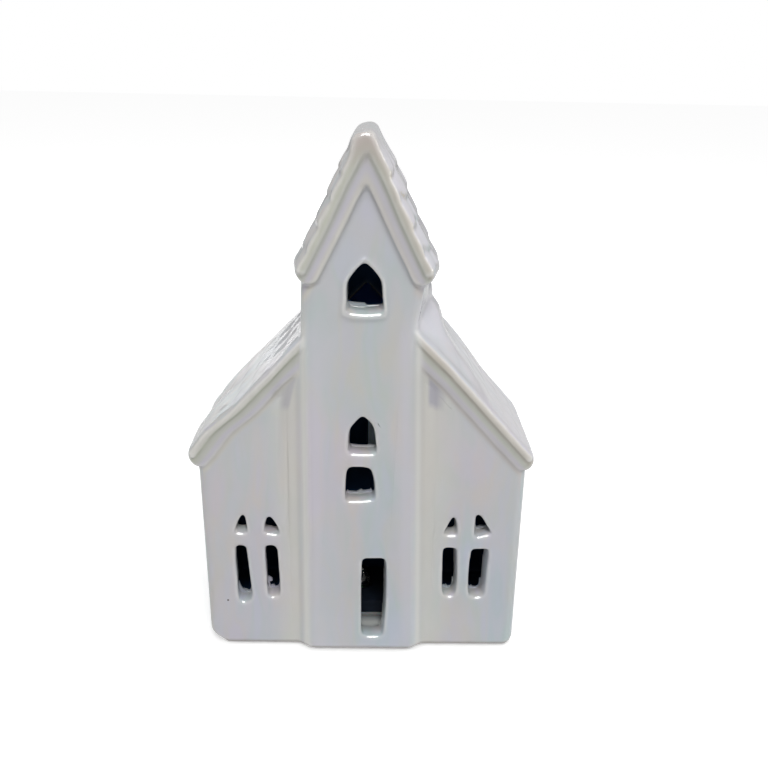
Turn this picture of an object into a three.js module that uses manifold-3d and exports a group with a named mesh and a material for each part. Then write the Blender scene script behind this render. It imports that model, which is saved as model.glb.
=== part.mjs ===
// A light-up ceramic church: one hollow slip-cast body, and a small battery lamp that plugs into its floor.
// Millimetres, +Z up, the church faces -Y. The origin is the middle of the base, on the table.
import * as THREE from 'three';
import { mergeVertices } from 'three/addons/utils/BufferGeometryUtils.js';
import Module from 'manifold-3d';

// Driving dimensions of the casting. Heights are above the table.
const overallHeight = 150;
const wall = 5;
const floorTop = 4.9;
const naveWidth = 90.6;
const naveDepth = 38;
const naveRidgeHeight = 114.4;
const naveEaveLow = 58.7;
const naveEaveOverhang = 1.9;
const naveGableOverhang = 2.2;
const naveFascia = 2.7;
const naveNoseRadius = 3.25;
const towerWidth = 33;
const towerDepth = 23;
const towerProtrusion = 2.7;
const towerEaveLow = 112;
const towerEaveOverhang = 1.9;
const towerGableOverhang = 3;
const towerFascia = 4;
const towerNoseRadius = 3.3;
const ridgeRound = 2.2;
const bandStep = 1.2;
const tileBump = 0.7;
const tileSkew = 1.5;
const naveCourse = 6.7;
const towerCourse = 7.2;
const edgeInset = 0.9;
const edgeDepth = 4;
const cornerRadius = 3;
const baseCornerRadius = 5;
const creaseWidth = 6;
const archFullness = 0.9;
const archRise = 0.6;
const slotCorner = 0.7;

// Openings in the front
const upperWindow = { centre: -0.3, width: 9.2, belowEave: 6.8, side: 7.9, height: 12.5 };
const surroundWidth = 1.2;
const surroundRise = 0.5;
const middleWindow = { centre: -0.5, width: 7.8, sill: 64.9, side: 7.3, height: 11 };
const squareWindow = { centre: -0.8, width: 8, sill: 50.3, height: 10 };
const door = { centre: 3.5, width: 7, height: 26.8 };
const lights = { inset: 0.9, width: 13, mullion: 4.6, sill: 16.6, head: 33.7, spring: 38, apex: 47 };

// Felt pads under the base
const padDiameter = 7;
const padThickness = 0.8;
const padInset = 8;

// Battery lamp. The coin cell and the switch set its size, and the gap is between pieces that meet or move.
const gap = 0.3;
const plasticWall = 1;
const plateThickness = 1.2;
const plateInset = 0.4;
const flangeLip = 1.7;
const caseCorner = 3;
const cellDiameter = 16;
const cellThickness = 2;
const cellSideRoom = 0.5;
const hingeRoom = 4.2;
const screwRoom = 5.2;
const switchRoom = 4.6;
const tongueRoom = 1.8;
const caseRise = 8.2;
const sleeveThickness = 0.8;
const sleeveHeight = 2.8;
const ledDiameter = 5;
const ledHeight = 8.6;
const ledFlange = 0.4;
const ledFlangeHeight = 1;
const leadPitch = 2.54;
const leadSize = 0.5;
const ledStandOff = 0.5;
const boardThickness = 1;
const boardAboveCell = 0.9;
const contactThickness = 0.25;
const contactWidth = 4;
const resistor = { length: 2, width: 1.25, height: 0.5, x: 6, y: 5 };
const screwHead = 3;
const screwHeadHeight = 0.6;
const screwHeadProud = 0.2;
const screwShank = 1.7;
const screwLength = 4.6;
const crossWidth = 0.5;
const crossLength = 1.8;
const crossDepth = 0.3;
const captiveGap = 0.6;
const bossWall = 1;
const ribThickness = 1;
const ribSpread = 13;
const switchWidth = 3.8;
const switchLength = 7.2;
const switchHeight = 2.6;
const switchSheet = 0.7;
const switchEnd = 1.2;
const switchCrown = 0.7;
const sliderLength = 2;
const switchTravel = 2;
const knobWidth = 1.6;
const knobLength = 1.8;
const knobProud = 0.3;
const tongueWidth = 6;
const tongueLength = 1.2;
const tongueThickness = 0.6;
const tongueRoot = 0.8;
const lipThickness = 0.7;
const lipHeight = 2;
const minusLeafLength = 7;
const minusLeafOffset = 2;

// Pieces that are joined run into each other by the overlap, and cutters run past what they cut.
const overlap = 0.2;
const past = 1;
const roundSides = 20;
const thinSides = 12;

// Levels and planes worked out from them. The roof edges at front and back are as far from the origin.
const roofDepth = naveDepth + 2 * naveGableOverhang;
const overallDepth = towerGableOverhang + towerProtrusion - naveGableOverhang + roofDepth;
const frontEdge = -overallDepth / 2;
const towerFace = frontEdge + towerGableOverhang;
const towerBack = towerFace + towerDepth;
const naveFace = towerFace + towerProtrusion;
const naveBack = naveFace + naveDepth;
const underside = padThickness;
const hollowMiddle = (naveFace + naveBack) / 2;

const ceramicMaterial = new THREE.MeshStandardMaterial({ color: 0xdcdee2, roughness: 0.22, metalness: 0 });
const feltMaterial = new THREE.MeshStandardMaterial({ color: 0xcfcdc6, roughness: 0.95, metalness: 0 });
const blackPlastic = new THREE.MeshStandardMaterial({ color: 0x1b1c1e, roughness: 0.45, metalness: 0 });
const siliconeMaterial = new THREE.MeshStandardMaterial({ color: 0xb9bdbf, roughness: 0.6, metalness: 0 });
const ledMaterial = new THREE.MeshStandardMaterial({ color: 0xf2e7b8, roughness: 0.1, metalness: 0 });
const boardMaterial = new THREE.MeshStandardMaterial({ color: 0x2f6b3c, roughness: 0.5, metalness: 0 });
const steelMaterial = new THREE.MeshStandardMaterial({ color: 0xb8babd, roughness: 0.3, metalness: 1 });
const chipMaterial = new THREE.MeshStandardMaterial({ color: 0x141414, roughness: 0.5, metalness: 0 });

const wasm = await Module();
wasm.setup();

const model = new THREE.Group();

function addPart(name, geometry, material) {
  const mesh = new THREE.Mesh(geometry, material);
  mesh.name = name;
  model.add(mesh);
  return mesh;
}

// Solids for joining and cutting, and back to a mesh.
function toSolid(geometry) {
  const bare = geometry.clone();
  bare.deleteAttribute('normal');
  bare.deleteAttribute('uv');
  const merged = mergeVertices(bare, 1e-4);
  return new wasm.Manifold(new wasm.Mesh({
    numProp: 3,
    vertProperties: merged.attributes.position.array,
    triVerts: new Uint32Array(merged.index.array),
  }));
}

function toGeometry(solid) {
  const mesh = solid.getMesh();
  const geometry = new THREE.BufferGeometry();
  geometry.setAttribute('position', new THREE.BufferAttribute(mesh.vertProperties, 3));
  geometry.setIndex(new THREE.BufferAttribute(mesh.triVerts, 1));
  geometry.computeVertexNormals();
  return geometry;
}

function box(x0, x1, y0, y1, z0, z1) {
  const geometry = new THREE.BoxGeometry(x1 - x0, y1 - y0, z1 - z0);
  return toSolid(geometry.translate((x0 + x1) / 2, (y0 + y1) / 2, (z0 + z1) / 2));
}

function post(x, y, z0, z1, diameter, sides = roundSides) {
  const geometry = new THREE.CylinderGeometry(diameter / 2, diameter / 2, z1 - z0, sides);
  return toSolid(geometry.rotateX(Math.PI / 2).translate(x, y, (z0 + z1) / 2));
}

// A plan outline carried straight up.
function upright(shape, z0, z1) {
  const geometry = new THREE.ExtrudeGeometry(shape, { depth: z1 - z0, bevelEnabled: false, curveSegments: 5 });
  return toSolid(geometry.translate(0, 0, z0));
}

// An elevation outline (x across, z up) carried from y0 back to y1. Its front and back edges are rounded
// off by the inset over the round's depth, where an inset is given.
function carriedBack(shape, y0, y1, inset = 0, roundDepth = 0) {
  const geometry = new THREE.ExtrudeGeometry(shape, {
    depth: y1 - y0 - 2 * roundDepth,
    bevelEnabled: inset > 0,
    bevelSize: inset,
    bevelOffset: -inset,
    bevelThickness: roundDepth,
    bevelSegments: 3,
    curveSegments: 5,
  });
  return toSolid(geometry.rotateX(Math.PI / 2).translate(0, y1 - roundDepth, 0));
}

function roundedPlan(width, depth, radius, x = 0, y = 0) {
  const [w, d] = [width / 2, depth / 2];
  const shape = new THREE.Shape();
  shape.moveTo(x - w + radius, y - d);
  shape.lineTo(x + w - radius, y - d);
  shape.absarc(x + w - radius, y - d + radius, radius, -Math.PI / 2, 0);
  shape.absarc(x + w - radius, y + d - radius, radius, 0, Math.PI / 2);
  shape.absarc(x - w + radius, y + d - radius, radius, Math.PI / 2, Math.PI);
  shape.absarc(x - w + radius, y - d + radius, radius, Math.PI, Math.PI * 1.5);
  return shape;
}

// A gabled roof in elevation. The slope is the line that touches both the round ridge and the round nose
// of the eave from outside. A place on it is s down the slope from the ridge's round, and n out of it.
function gabledRoof({ top, halfSpan, eaveLow, nose, course }) {
  const ridgeCentre = new THREE.Vector2(0, top - ridgeRound);
  const noseCentre = new THREE.Vector2(halfSpan - nose, eaveLow + nose);
  const reach = ridgeCentre.distanceTo(noseCentre);
  const pitch = Math.atan2(ridgeCentre.y - noseCentre.y, noseCentre.x) - Math.asin((nose - ridgeRound) / reach);
  const length = Math.sqrt(reach ** 2 - (nose - ridgeRound) ** 2);
  const down = new THREE.Vector2(Math.cos(pitch), -Math.sin(pitch));
  const out = new THREE.Vector2(Math.sin(pitch), Math.cos(pitch));
  const start = ridgeCentre.clone().addScaledVector(out, ridgeRound);
  const at = (s, n) => start.clone().addScaledVector(down, s).addScaledVector(out, n);
  const middle = (n) => new THREE.Vector2(0, start.y + n / Math.cos(pitch) + start.x * Math.tan(pitch));
  return { top, pitch, length, nose, course, at, middle };
}

// Right half of the roof's upper edge, ridge to eave: every course of tiles swells and tucks under itself.
function tiledEdge(roof) {
  const courses = Math.round(roof.length / roof.course);
  const stepsPerCourse = 4;
  const points = [];
  for (let step = 0; step <= courses * stepsPerCourse; step += 1) {
    const share = (step % stepsPerCourse) / stepsPerCourse;
    const swell = tileBump * Math.sin(Math.PI * share ** tileSkew);
    points.push(roof.at((step / stepsPerCourse) * (roof.length / courses), swell));
  }
  return points;
}

// Round end of a slab from its upper face to its lower face.
function roundEnd(roof, thickness) {
  const radius = thickness / 2;
  const steps = 6;
  const points = [];
  for (let step = 1; step <= steps; step += 1) {
    const turn = (step / steps) * Math.PI;
    points.push(roof.at(roof.length + radius * Math.sin(turn), radius * (Math.cos(turn) - 1)));
  }
  return points;
}

// A closed outline from its right half, listed from top to bottom to top, both ends on the middle line.
function mirrored(rightHalf) {
  const left = rightHalf.slice(1, -1).reverse().map((point) => new THREE.Vector2(-point.x, point.y));
  return new THREE.Shape([...rightHalf, ...left].reverse());
}

function roofSlab(roof, thickness) {
  return mirrored([
    new THREE.Vector2(0, roof.top),
    ...tiledEdge(roof),
    ...roundEnd(roof, thickness),
    roof.middle(-thickness),
  ]);
}

// The space under a roof, down to a level, between two upright sides.
function underRoof(roof, depthBelow, halfWidth, bottom) {
  const top = roof.middle(-depthBelow);
  return mirrored([
    top,
    new THREE.Vector2(halfWidth, top.y - halfWidth * Math.tan(roof.pitch)),
    new THREE.Vector2(halfWidth, bottom),
    new THREE.Vector2(0, bottom),
  ]);
}

const naveRoof = gabledRoof({
  top: naveRidgeHeight,
  halfSpan: naveWidth / 2 + naveEaveOverhang,
  eaveLow: naveEaveLow,
  nose: naveNoseRadius,
  course: naveCourse,
});
const towerRoof = gabledRoof({
  top: overallHeight,
  halfSpan: towerWidth / 2 + towerEaveOverhang,
  eaveLow: towerEaveLow,
  nose: towerNoseRadius,
  course: towerCourse,
});

// A roof as built: a slab from gable to gable, with a wider fascia standing out at both ends.
function roofSolid(roof, fascia, y0, y1) {
  const slab = carriedBack(roofSlab(roof, 2 * roof.nose), y0 + bandStep, y1 - bandStep, edgeInset, edgeDepth);
  const tiles = carriedBack(roofSlab(roof, fascia), y0, y1, edgeInset, edgeDepth);
  return slab.add(tiles);
}

// Elevation of the nave: upright walls with round lower corners, and the gable up into the roof's slab.
function naveElevation() {
  const halfWidth = naveWidth / 2;
  const apex = naveRoof.middle(-naveRoof.nose);
  const shape = new THREE.Shape();
  shape.moveTo(0, underside);
  shape.lineTo(halfWidth - baseCornerRadius, underside);
  shape.absarc(halfWidth - baseCornerRadius, underside + baseCornerRadius, baseCornerRadius, -Math.PI / 2, 0);
  shape.lineTo(halfWidth, apex.y - halfWidth * Math.tan(naveRoof.pitch));
  shape.lineTo(0, apex.y);
  shape.lineTo(-halfWidth, apex.y - halfWidth * Math.tan(naveRoof.pitch));
  shape.lineTo(-halfWidth, underside + baseCornerRadius);
  shape.absarc(-halfWidth + baseCornerRadius, underside + baseCornerRadius, baseCornerRadius, Math.PI, Math.PI * 1.5);
  return shape;
}

// Plan of the nave with the tower's step in its front, which runs out in a soft double curve.
function navePlan() {
  const [w, r] = [naveWidth / 2, cornerRadius];
  const outer = towerWidth / 2 + creaseWidth / 2;
  const inner = towerWidth / 2 - creaseWidth / 2;
  const middle = towerWidth / 2;
  const shape = new THREE.Shape();
  shape.moveTo(-inner, towerFace);
  shape.lineTo(inner, towerFace);
  shape.bezierCurveTo(middle, towerFace, middle, naveFace, outer, naveFace);
  shape.lineTo(w - r, naveFace);
  shape.absarc(w - r, naveFace + r, r, -Math.PI / 2, 0);
  shape.absarc(w - r, naveBack - r, r, 0, Math.PI / 2);
  shape.absarc(-w + r, naveBack - r, r, Math.PI / 2, Math.PI);
  shape.absarc(-w + r, naveFace + r, r, Math.PI, Math.PI * 1.5);
  shape.lineTo(-outer, naveFace);
  shape.bezierCurveTo(-middle, naveFace, -middle, towerFace, -inner, towerFace);
  return shape;
}

function outerForm() {
  const nave = upright(navePlan(), underside, naveRidgeHeight)
    .intersect(carriedBack(naveElevation(), towerFace - past, naveBack + past));
  const towerPlan = roundedPlan(towerWidth, towerDepth, cornerRadius, 0, (towerFace + towerBack) / 2);
  const towerGable = underRoof(towerRoof, towerRoof.nose, towerWidth / 2, underside);
  const tower = upright(towerPlan, underside, overallHeight)
    .intersect(carriedBack(towerGable, towerFace - past, towerBack + past));
  const naveEnds = [naveFace - naveGableOverhang, naveBack + naveGableOverhang];
  const towerEnds = [towerFace - towerGableOverhang, towerBack + towerGableOverhang];
  return nave
    .add(tower)
    .add(roofSolid(naveRoof, naveFascia, ...naveEnds))
    .add(roofSolid(towerRoof, towerFascia, ...towerEnds));
}

// The hollow follows the outside a wall's thickness in, above the floor.
function hollow() {
  const nave = carriedBack(
    underRoof(naveRoof, wall, naveWidth / 2 - wall, floorTop), naveFace + wall, naveBack - wall);
  const tower = carriedBack(
    underRoof(towerRoof, wall, towerWidth / 2 - wall, floorTop), towerFace + wall, towerBack - wall);
  return nave.add(tower);
}

// Pointed window outline, with a margin around it.
function pointedOutline(window, sill, margin = 0) {
  const half = window.width / 2 + margin;
  const spring = sill + window.side;
  const apex = sill + window.height + margin;
  const shoulder = (spring + apex) / 2 + archRise;
  const shape = new THREE.Shape();
  shape.moveTo(window.centre - half, sill - margin);
  shape.lineTo(window.centre + half, sill - margin);
  shape.lineTo(window.centre + half, spring);
  shape.quadraticCurveTo(window.centre + half * archFullness, shoulder, window.centre, apex);
  shape.quadraticCurveTo(window.centre - half * archFullness, shoulder, window.centre - half, spring);
  return shape;
}

function squareOutline(centre, width, sill, height) {
  return roundedPlan(width, height, slotCorner, centre, sill + height / 2);
}

// One side of a two-light window: a tall slot under a quarter of a pointed arch.
function lightOutlines(centre, side) {
  const outer = centre + side * lights.width / 2;
  const inner = centre + side * lights.mullion / 2;
  const share = lights.mullion / lights.width;
  const slot = squareOutline((outer + inner) / 2, Math.abs(outer - inner), lights.sill, lights.head - lights.sill);
  const head = new THREE.Shape();
  head.moveTo(inner, lights.spring);
  head.lineTo(inner, lights.apex - (lights.apex - lights.spring) * share);
  head.quadraticCurveTo(outer, (lights.spring + lights.apex) / 2, outer, lights.spring);
  return [slot, head];
}

// Everything cut through the front wall.
function openings() {
  const throughFront = (shape) => carriedBack(shape, frontEdge - past, naveFace + wall + past);
  const upperSill = towerEaveLow - upperWindow.belowEave;
  const outlines = [
    pointedOutline(upperWindow, upperSill),
    pointedOutline(middleWindow, middleWindow.sill),
    squareOutline(squareWindow.centre, squareWindow.width, squareWindow.sill, squareWindow.height),
    squareOutline(door.centre, door.width, floorTop, door.height),
  ];
  const bayCentre = (towerWidth / 2 + naveWidth / 2) / 2 - lights.inset;
  for (const bay of [-bayCentre, bayCentre]) {
    for (const side of [-1, 1]) {
      outlines.push(...lightOutlines(bay, side));
    }
  }
  return outlines.map(throughFront).reduce((all, cut) => all.add(cut));
}

// Battery lamp: the places along its case, from the hinge end to the switch end.
const caseInnerLength = hingeRoom + cellDiameter + screwRoom + switchRoom;
const caseInnerDepth = cellDiameter + 2 * cellSideRoom;
const caseLength = caseInnerLength + 2 * plasticWall;
const caseDepth = caseInnerDepth + 2 * plasticWall;
const caseLeft = -caseInnerLength / 2;
const caseRight = caseInnerLength / 2;
const cellX = caseLeft + hingeRoom + cellDiameter / 2;
const columnDiameter = screwShank + 2 * captiveGap + 2 * bossWall;
const bossDiameter = screwShank + 2 * gap + 2 * bossWall;
const doorScrewX = cellX + cellDiameter / 2 + gap + columnDiameter / 2;
const switchX = caseRight - switchRoom / 2 + gap;
const sleeveGrowth = 2 * (gap + sleeveThickness);
const holeLength = caseLength + sleeveGrowth + 2 * gap;
const holeDepth = caseDepth + sleeveGrowth + 2 * gap;
const flangeLength = holeLength + 2 * flangeLip;
const flangeDepth = holeDepth + 2 * flangeLip;

// Its levels, from the table up.
const plateBottom = underside + plateInset;
const plateTop = plateBottom + plateThickness;
const insideBottom = plateTop + gap;
const cellTop = insideBottom + cellThickness;
const boardBottom = cellTop + boardAboveCell;
const boardTop = boardBottom + boardThickness;
const ledBottom = boardTop + ledStandOff;
const capTop = plateBottom + caseRise;
const screwHeadBottom = plateBottom - screwHeadProud;
const screwHeadTop = screwHeadBottom + screwHeadHeight;
const screwTip = screwHeadBottom + screwLength;
const recessTop = screwHeadTop + gap;

// Door of the battery bay: a plate in the base plate's opening, held by a tongue at its left end.
const bayLeft = caseLeft + tongueRoom;
const bayRight = doorScrewX + columnDiameter / 2;
const bayHalfDepth = caseInnerDepth / 2;
const doorLeft = bayLeft + gap;
const caseScrewY = caseInnerDepth / 2 - bossDiameter / 2 - gap;

function screw(x, y) {
  const head = post(x, y, screwHeadBottom, screwHeadTop, screwHead);
  const shank = post(x, y, screwHeadTop - overlap, screwTip, screwShank, thinSides);
  const slot = (halfX, halfY) => box(x - halfX, x + halfX, y - halfY, y + halfY,
    screwHeadBottom - past, screwHeadBottom + crossDepth);
  return head
    .add(shank)
    .subtract(slot(crossLength / 2, crossWidth / 2))
    .subtract(slot(crossWidth / 2, crossLength / 2));
}

// Clearance hole with a recess for the screw's head, through a plate.
function screwHole(x, y) {
  const recess = post(x, y, plateBottom - past, recessTop, screwHead + 2 * gap);
  return recess.add(post(x, y, plateBottom - past, plateTop + past, screwShank + 2 * gap, thinSides));
}

function lampBase() {
  const plate = upright(roundedPlan(flangeLength, flangeDepth, caseCorner + flangeLip), plateBottom, plateTop);
  const bay = box(bayLeft, bayRight, -bayHalfDepth, bayHalfDepth, plateBottom - past, plateTop + past);
  const slotHalfWidth = knobWidth / 2 + gap;
  const slotHalfLength = switchTravel / 2 + knobLength / 2 + gap;
  const slot = box(switchX - slotHalfWidth, switchX + slotHalfWidth, -slotHalfLength, slotHalfLength,
    plateBottom - past, plateTop + past);
  const lipLeft = caseLeft + gap;
  const lipStart = tongueWidth / 2 + 3 * gap;
  const lipEnd = caseInnerDepth / 2 - caseCorner;
  const lip = (y0, y1) => box(lipLeft, lipLeft + lipThickness, y0, y1, plateTop - overlap, plateTop + lipHeight);
  return plate
    .subtract(bay)
    .subtract(slot)
    .subtract(screwHole(switchX, caseScrewY))
    .subtract(screwHole(switchX, -caseScrewY))
    .add(lip(lipStart, lipEnd))
    .add(lip(-lipEnd, -lipStart));
}

// Upper shell, open below, with the ribs that keep the cell in place and the bosses for the screws.
function lampCap() {
  const outside = upright(roundedPlan(caseLength, caseDepth, caseCorner), insideBottom, capTop);
  const inside = upright(roundedPlan(caseInnerLength, caseInnerDepth, caseCorner - plasticWall),
    insideBottom - past, capTop - plasticWall);
  const ribNear = ribSpread / 2;
  const ribReach = Math.sqrt((cellDiameter / 2 + 2 * gap) ** 2 - ribNear ** 2);
  const ribRoot = caseInnerDepth / 2 + plasticWall / 2;
  const rib = (sideX, sideY) => {
    const x = cellX + sideX * (ribNear + ribThickness / 2);
    const y = sideY * (ribReach + ribRoot) / 2;
    const halfDepth = (ribRoot - ribReach) / 2;
    return box(x - ribThickness / 2, x + ribThickness / 2, y - halfDepth, y + halfDepth,
      insideBottom, boardBottom - gap);
  };
  const ledHole = post(0, 0, capTop - plasticWall - past, capTop + past, ledDiameter + 2 * gap);
  const boreTop = screwTip + 2 * gap;
  const column = post(doorScrewX, 0, insideBottom, capTop - overlap, columnDiameter)
    .subtract(post(doorScrewX, 0, insideBottom - past, boreTop, screwShank + 2 * captiveGap));
  const boss = (y) => post(switchX, y, insideBottom, capTop - overlap, bossDiameter)
    .subtract(post(switchX, y, insideBottom - past, boreTop, screwShank + 2 * gap, thinSides));
  return outside
    .subtract(inside)
    .add(rib(-1, -1))
    .add(rib(-1, 1))
    .add(rib(1, 1))
    .add(column)
    .add(boss(caseScrewY))
    .add(boss(-caseScrewY))
    .subtract(ledHole);
}

function batteryDoor() {
  const right = bayRight - gap;
  const halfDepth = bayHalfDepth - gap;
  const tongueBottom = plateTop + gap;
  const tongueTop = tongueBottom + tongueThickness;
  const plate = box(doorLeft, right, -halfDepth, halfDepth, plateBottom, plateTop);
  const rootEnd = doorLeft + tongueRoot;
  const riser = box(doorLeft, rootEnd, -tongueWidth / 2, tongueWidth / 2, plateTop - overlap, tongueTop);
  const tongue = box(bayLeft - tongueLength, rootEnd, -tongueWidth / 2, tongueWidth / 2, tongueBottom, tongueTop);
  return plate.add(riser).add(tongue).subtract(screwHole(doorScrewX, 0));
}

function siliconeSleeve() {
  const innerLength = caseLength + 2 * gap;
  const innerDepth = caseDepth + 2 * gap;
  const top = insideBottom + sleeveHeight;
  const outside = upright(roundedPlan(caseLength + sleeveGrowth, caseDepth + sleeveGrowth,
    caseCorner + gap + sleeveThickness), insideBottom, top);
  const inside = upright(roundedPlan(innerLength, innerDepth, caseCorner + gap), insideBottom - past, top + past);
  return outside.subtract(inside);
}

function circuitBoard() {
  const board = upright(roundedPlan(caseInnerLength - 2 * gap, caseInnerDepth - 2 * gap, caseCorner - plasticWall),
    boardBottom, boardTop);
  const clear = (x, y, diameter) => post(x, y, boardBottom - past, boardTop + past, diameter + 2 * gap);
  const notchLeft = switchX - bossDiameter / 2 - gap;
  const notchStart = caseScrewY - bossDiameter / 2 - gap;
  const notch = (y0, y1) => box(notchLeft, caseRight, y0, y1, boardBottom - past, boardTop + past);
  return board
    .subtract(clear(doorScrewX, 0, columnDiameter))
    .subtract(clear(leadPitch / 2, 0, leadSize))
    .subtract(clear(-leadPitch / 2, 0, leadSize))
    .subtract(notch(notchStart, caseInnerDepth))
    .subtract(notch(-caseInnerDepth, -notchStart));
}

// LED: a domed rod with a small flange, turned about its own axis.
function ledBulb() {
  const r = ledDiameter / 2;
  const domeStart = ledBottom + ledHeight - r;
  const profile = [
    new THREE.Vector2(0, ledBottom),
    new THREE.Vector2(r + ledFlange, ledBottom),
    new THREE.Vector2(r + ledFlange, ledBottom + ledFlangeHeight),
    new THREE.Vector2(r, ledBottom + ledFlangeHeight),
  ];
  const steps = 6;
  for (let step = 0; step < steps; step += 1) {
    const turn = (step / steps) * (Math.PI / 2);
    profile.push(new THREE.Vector2(r * Math.cos(turn), domeStart + r * Math.sin(turn)));
  }
  profile.push(new THREE.Vector2(0, domeStart + r));
  return new THREE.LatheGeometry(profile, roundSides).rotateX(Math.PI / 2);
}

function switchCase() {
  const halfWidth = switchWidth / 2;
  const halfLength = switchLength / 2;
  const top = insideBottom + switchHeight;
  const shell = box(switchX - halfWidth, switchX + halfWidth, -halfLength, halfLength, insideBottom, top);
  return shell.subtract(box(switchX - halfWidth + switchSheet, switchX + halfWidth - switchSheet,
    -halfLength + switchEnd, halfLength - switchEnd, insideBottom - past, top - switchCrown));
}

// Slider at off, the front end of its slot.
function switchSlider() {
  const y = -switchTravel / 2;
  const halfWidth = switchWidth / 2 - switchSheet - gap;
  const block = box(switchX - halfWidth, switchX + halfWidth, y - sliderLength / 2, y + sliderLength / 2,
    insideBottom + gap, insideBottom + switchHeight - switchCrown - gap);
  const knob = box(switchX - knobWidth / 2, switchX + knobWidth / 2, y - knobLength / 2, y + knobLength / 2,
    plateBottom - knobProud, insideBottom + gap + overlap);
  return block.add(knob);
}

// Positive contact: an upright leaf against the cell's rim, at 45 degrees on the front right.
function plusContact() {
  const leaf = new THREE.BoxGeometry(contactThickness, contactWidth, boardBottom - insideBottom - gap);
  const reach = cellDiameter / 2 + gap + contactThickness / 2;
  leaf.rotateZ(-Math.PI / 4);
  return leaf.translate(cellX + reach * Math.SQRT1_2, -reach * Math.SQRT1_2, (boardBottom + insideBottom + gap) / 2);
}

function minusContact() {
  const leaf = new THREE.BoxGeometry(minusLeafLength, contactWidth, contactThickness);
  return leaf.translate(cellX - minusLeafOffset, 0, cellTop + gap + contactThickness / 2);
}

function coinCell() {
  const disc = new THREE.CylinderGeometry(cellDiameter / 2, cellDiameter / 2, cellThickness, 2 * roundSides);
  return disc.rotateX(Math.PI / 2).translate(cellX, 0, (insideBottom + cellTop) / 2);
}

function lead(x) {
  const bottom = boardBottom - gap / 2;
  const wire = new THREE.BoxGeometry(leadSize, leadSize, ledBottom - bottom);
  return wire.translate(x, 0, (ledBottom + bottom) / 2);
}

function chipResistor() {
  const chip = new THREE.BoxGeometry(resistor.length, resistor.width, resistor.height);
  return chip.translate(resistor.x, resistor.y, boardTop + resistor.height / 2);
}

// The casting, with the hole for the lamp and the recess for its flange.
function ceramicHouse() {
  const surround = carriedBack(pointedOutline(upperWindow, towerEaveLow - upperWindow.belowEave, surroundWidth),
    towerFace - surroundRise, towerFace + past);
  const hole = upright(roundedPlan(holeLength, holeDepth, caseCorner + sleeveThickness + 2 * gap, 0, hollowMiddle),
    underside - past, floorTop + past);
  const recess = upright(roundedPlan(flangeLength + 2 * gap, flangeDepth + 2 * gap, caseCorner + flangeLip + gap,
    0, hollowMiddle), underside - past, plateTop + gap);
  return outerForm().add(surround).subtract(hollow()).subtract(openings()).subtract(hole).subtract(recess);
}

function footPad(x, y) {
  const pad = new THREE.CylinderGeometry(padDiameter / 2, padDiameter / 2, padThickness, roundSides);
  return pad.rotateX(Math.PI / 2).translate(x, y, padThickness / 2);
}

addPart('ceramic_house', toGeometry(ceramicHouse()), ceramicMaterial);

const padX = naveWidth / 2 - padInset;
addPart('foot_pad_front_left', footPad(-padX, naveFace + padInset), feltMaterial);
addPart('foot_pad_front_right', footPad(padX, naveFace + padInset), feltMaterial);
addPart('foot_pad_rear_left', footPad(-padX, naveBack - padInset), feltMaterial);
addPart('foot_pad_rear_right', footPad(padX, naveBack - padInset), feltMaterial);

// The lamp's pieces are drawn about the middle of its case, and set in the middle of the nave's floor.
const lampPieces = [
  ['lamp_base', toGeometry(lampBase()), blackPlastic],
  ['lamp_cap', toGeometry(lampCap()), blackPlastic],
  ['silicone_sleeve', toGeometry(siliconeSleeve()), siliconeMaterial],
  ['battery_door', toGeometry(batteryDoor()), blackPlastic],
  ['battery_door_screw', toGeometry(screw(doorScrewX, 0)), steelMaterial],
  ['case_screw_front', toGeometry(screw(switchX, -caseScrewY)), steelMaterial],
  ['case_screw_rear', toGeometry(screw(switchX, caseScrewY)), steelMaterial],
  ['circuit_board', toGeometry(circuitBoard()), boardMaterial],
  ['resistor', chipResistor(), chipMaterial],
  ['led_bulb', ledBulb(), ledMaterial],
  ['led_anode_lead', lead(leadPitch / 2), steelMaterial],
  ['led_cathode_lead', lead(-leadPitch / 2), steelMaterial],
  ['switch_case', toGeometry(switchCase()), steelMaterial],
  ['switch_slider', toGeometry(switchSlider()), blackPlastic],
  ['plus_contact', plusContact(), steelMaterial],
  ['minus_contact', minusContact(), steelMaterial],
  ['coin_cell', coinCell(), steelMaterial],
];
for (const [name, geometry, material] of lampPieces) {
  addPart(name, geometry, material).position.y = hollowMiddle;
}

export default model;
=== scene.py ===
import math

import bmesh
import bpy
import numpy as np
from mathutils import Matrix, Vector


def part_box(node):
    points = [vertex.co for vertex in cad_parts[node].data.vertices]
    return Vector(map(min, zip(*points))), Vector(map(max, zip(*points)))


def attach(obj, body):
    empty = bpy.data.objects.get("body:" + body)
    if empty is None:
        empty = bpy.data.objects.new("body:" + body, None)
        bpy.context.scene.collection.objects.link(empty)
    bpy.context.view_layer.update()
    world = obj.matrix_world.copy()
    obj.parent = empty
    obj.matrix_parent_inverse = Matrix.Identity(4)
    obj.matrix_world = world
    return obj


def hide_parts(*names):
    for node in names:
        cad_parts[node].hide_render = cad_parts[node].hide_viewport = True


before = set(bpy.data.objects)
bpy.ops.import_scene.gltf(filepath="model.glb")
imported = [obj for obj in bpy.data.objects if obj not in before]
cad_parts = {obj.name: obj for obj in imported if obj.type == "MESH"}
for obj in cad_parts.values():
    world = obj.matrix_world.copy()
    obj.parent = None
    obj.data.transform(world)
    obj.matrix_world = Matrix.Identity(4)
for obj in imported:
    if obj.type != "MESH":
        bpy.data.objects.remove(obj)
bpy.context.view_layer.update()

# The camera
# It stands above the ridge of the nave and looks down at the front, turned a little to the right.
# Place, turn and lens come from fitting the church's outline to the photograph's 768 pixel square.
CAMERA_PLACE = Vector((0.00081, -0.2396, 0.16845))
CAMERA_YAW = math.radians(1.079)
CAMERA_PITCH = math.radians(20.766)
CAMERA_ROLL = math.radians(1.217)
PHOTO_SIDE = 768
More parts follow.
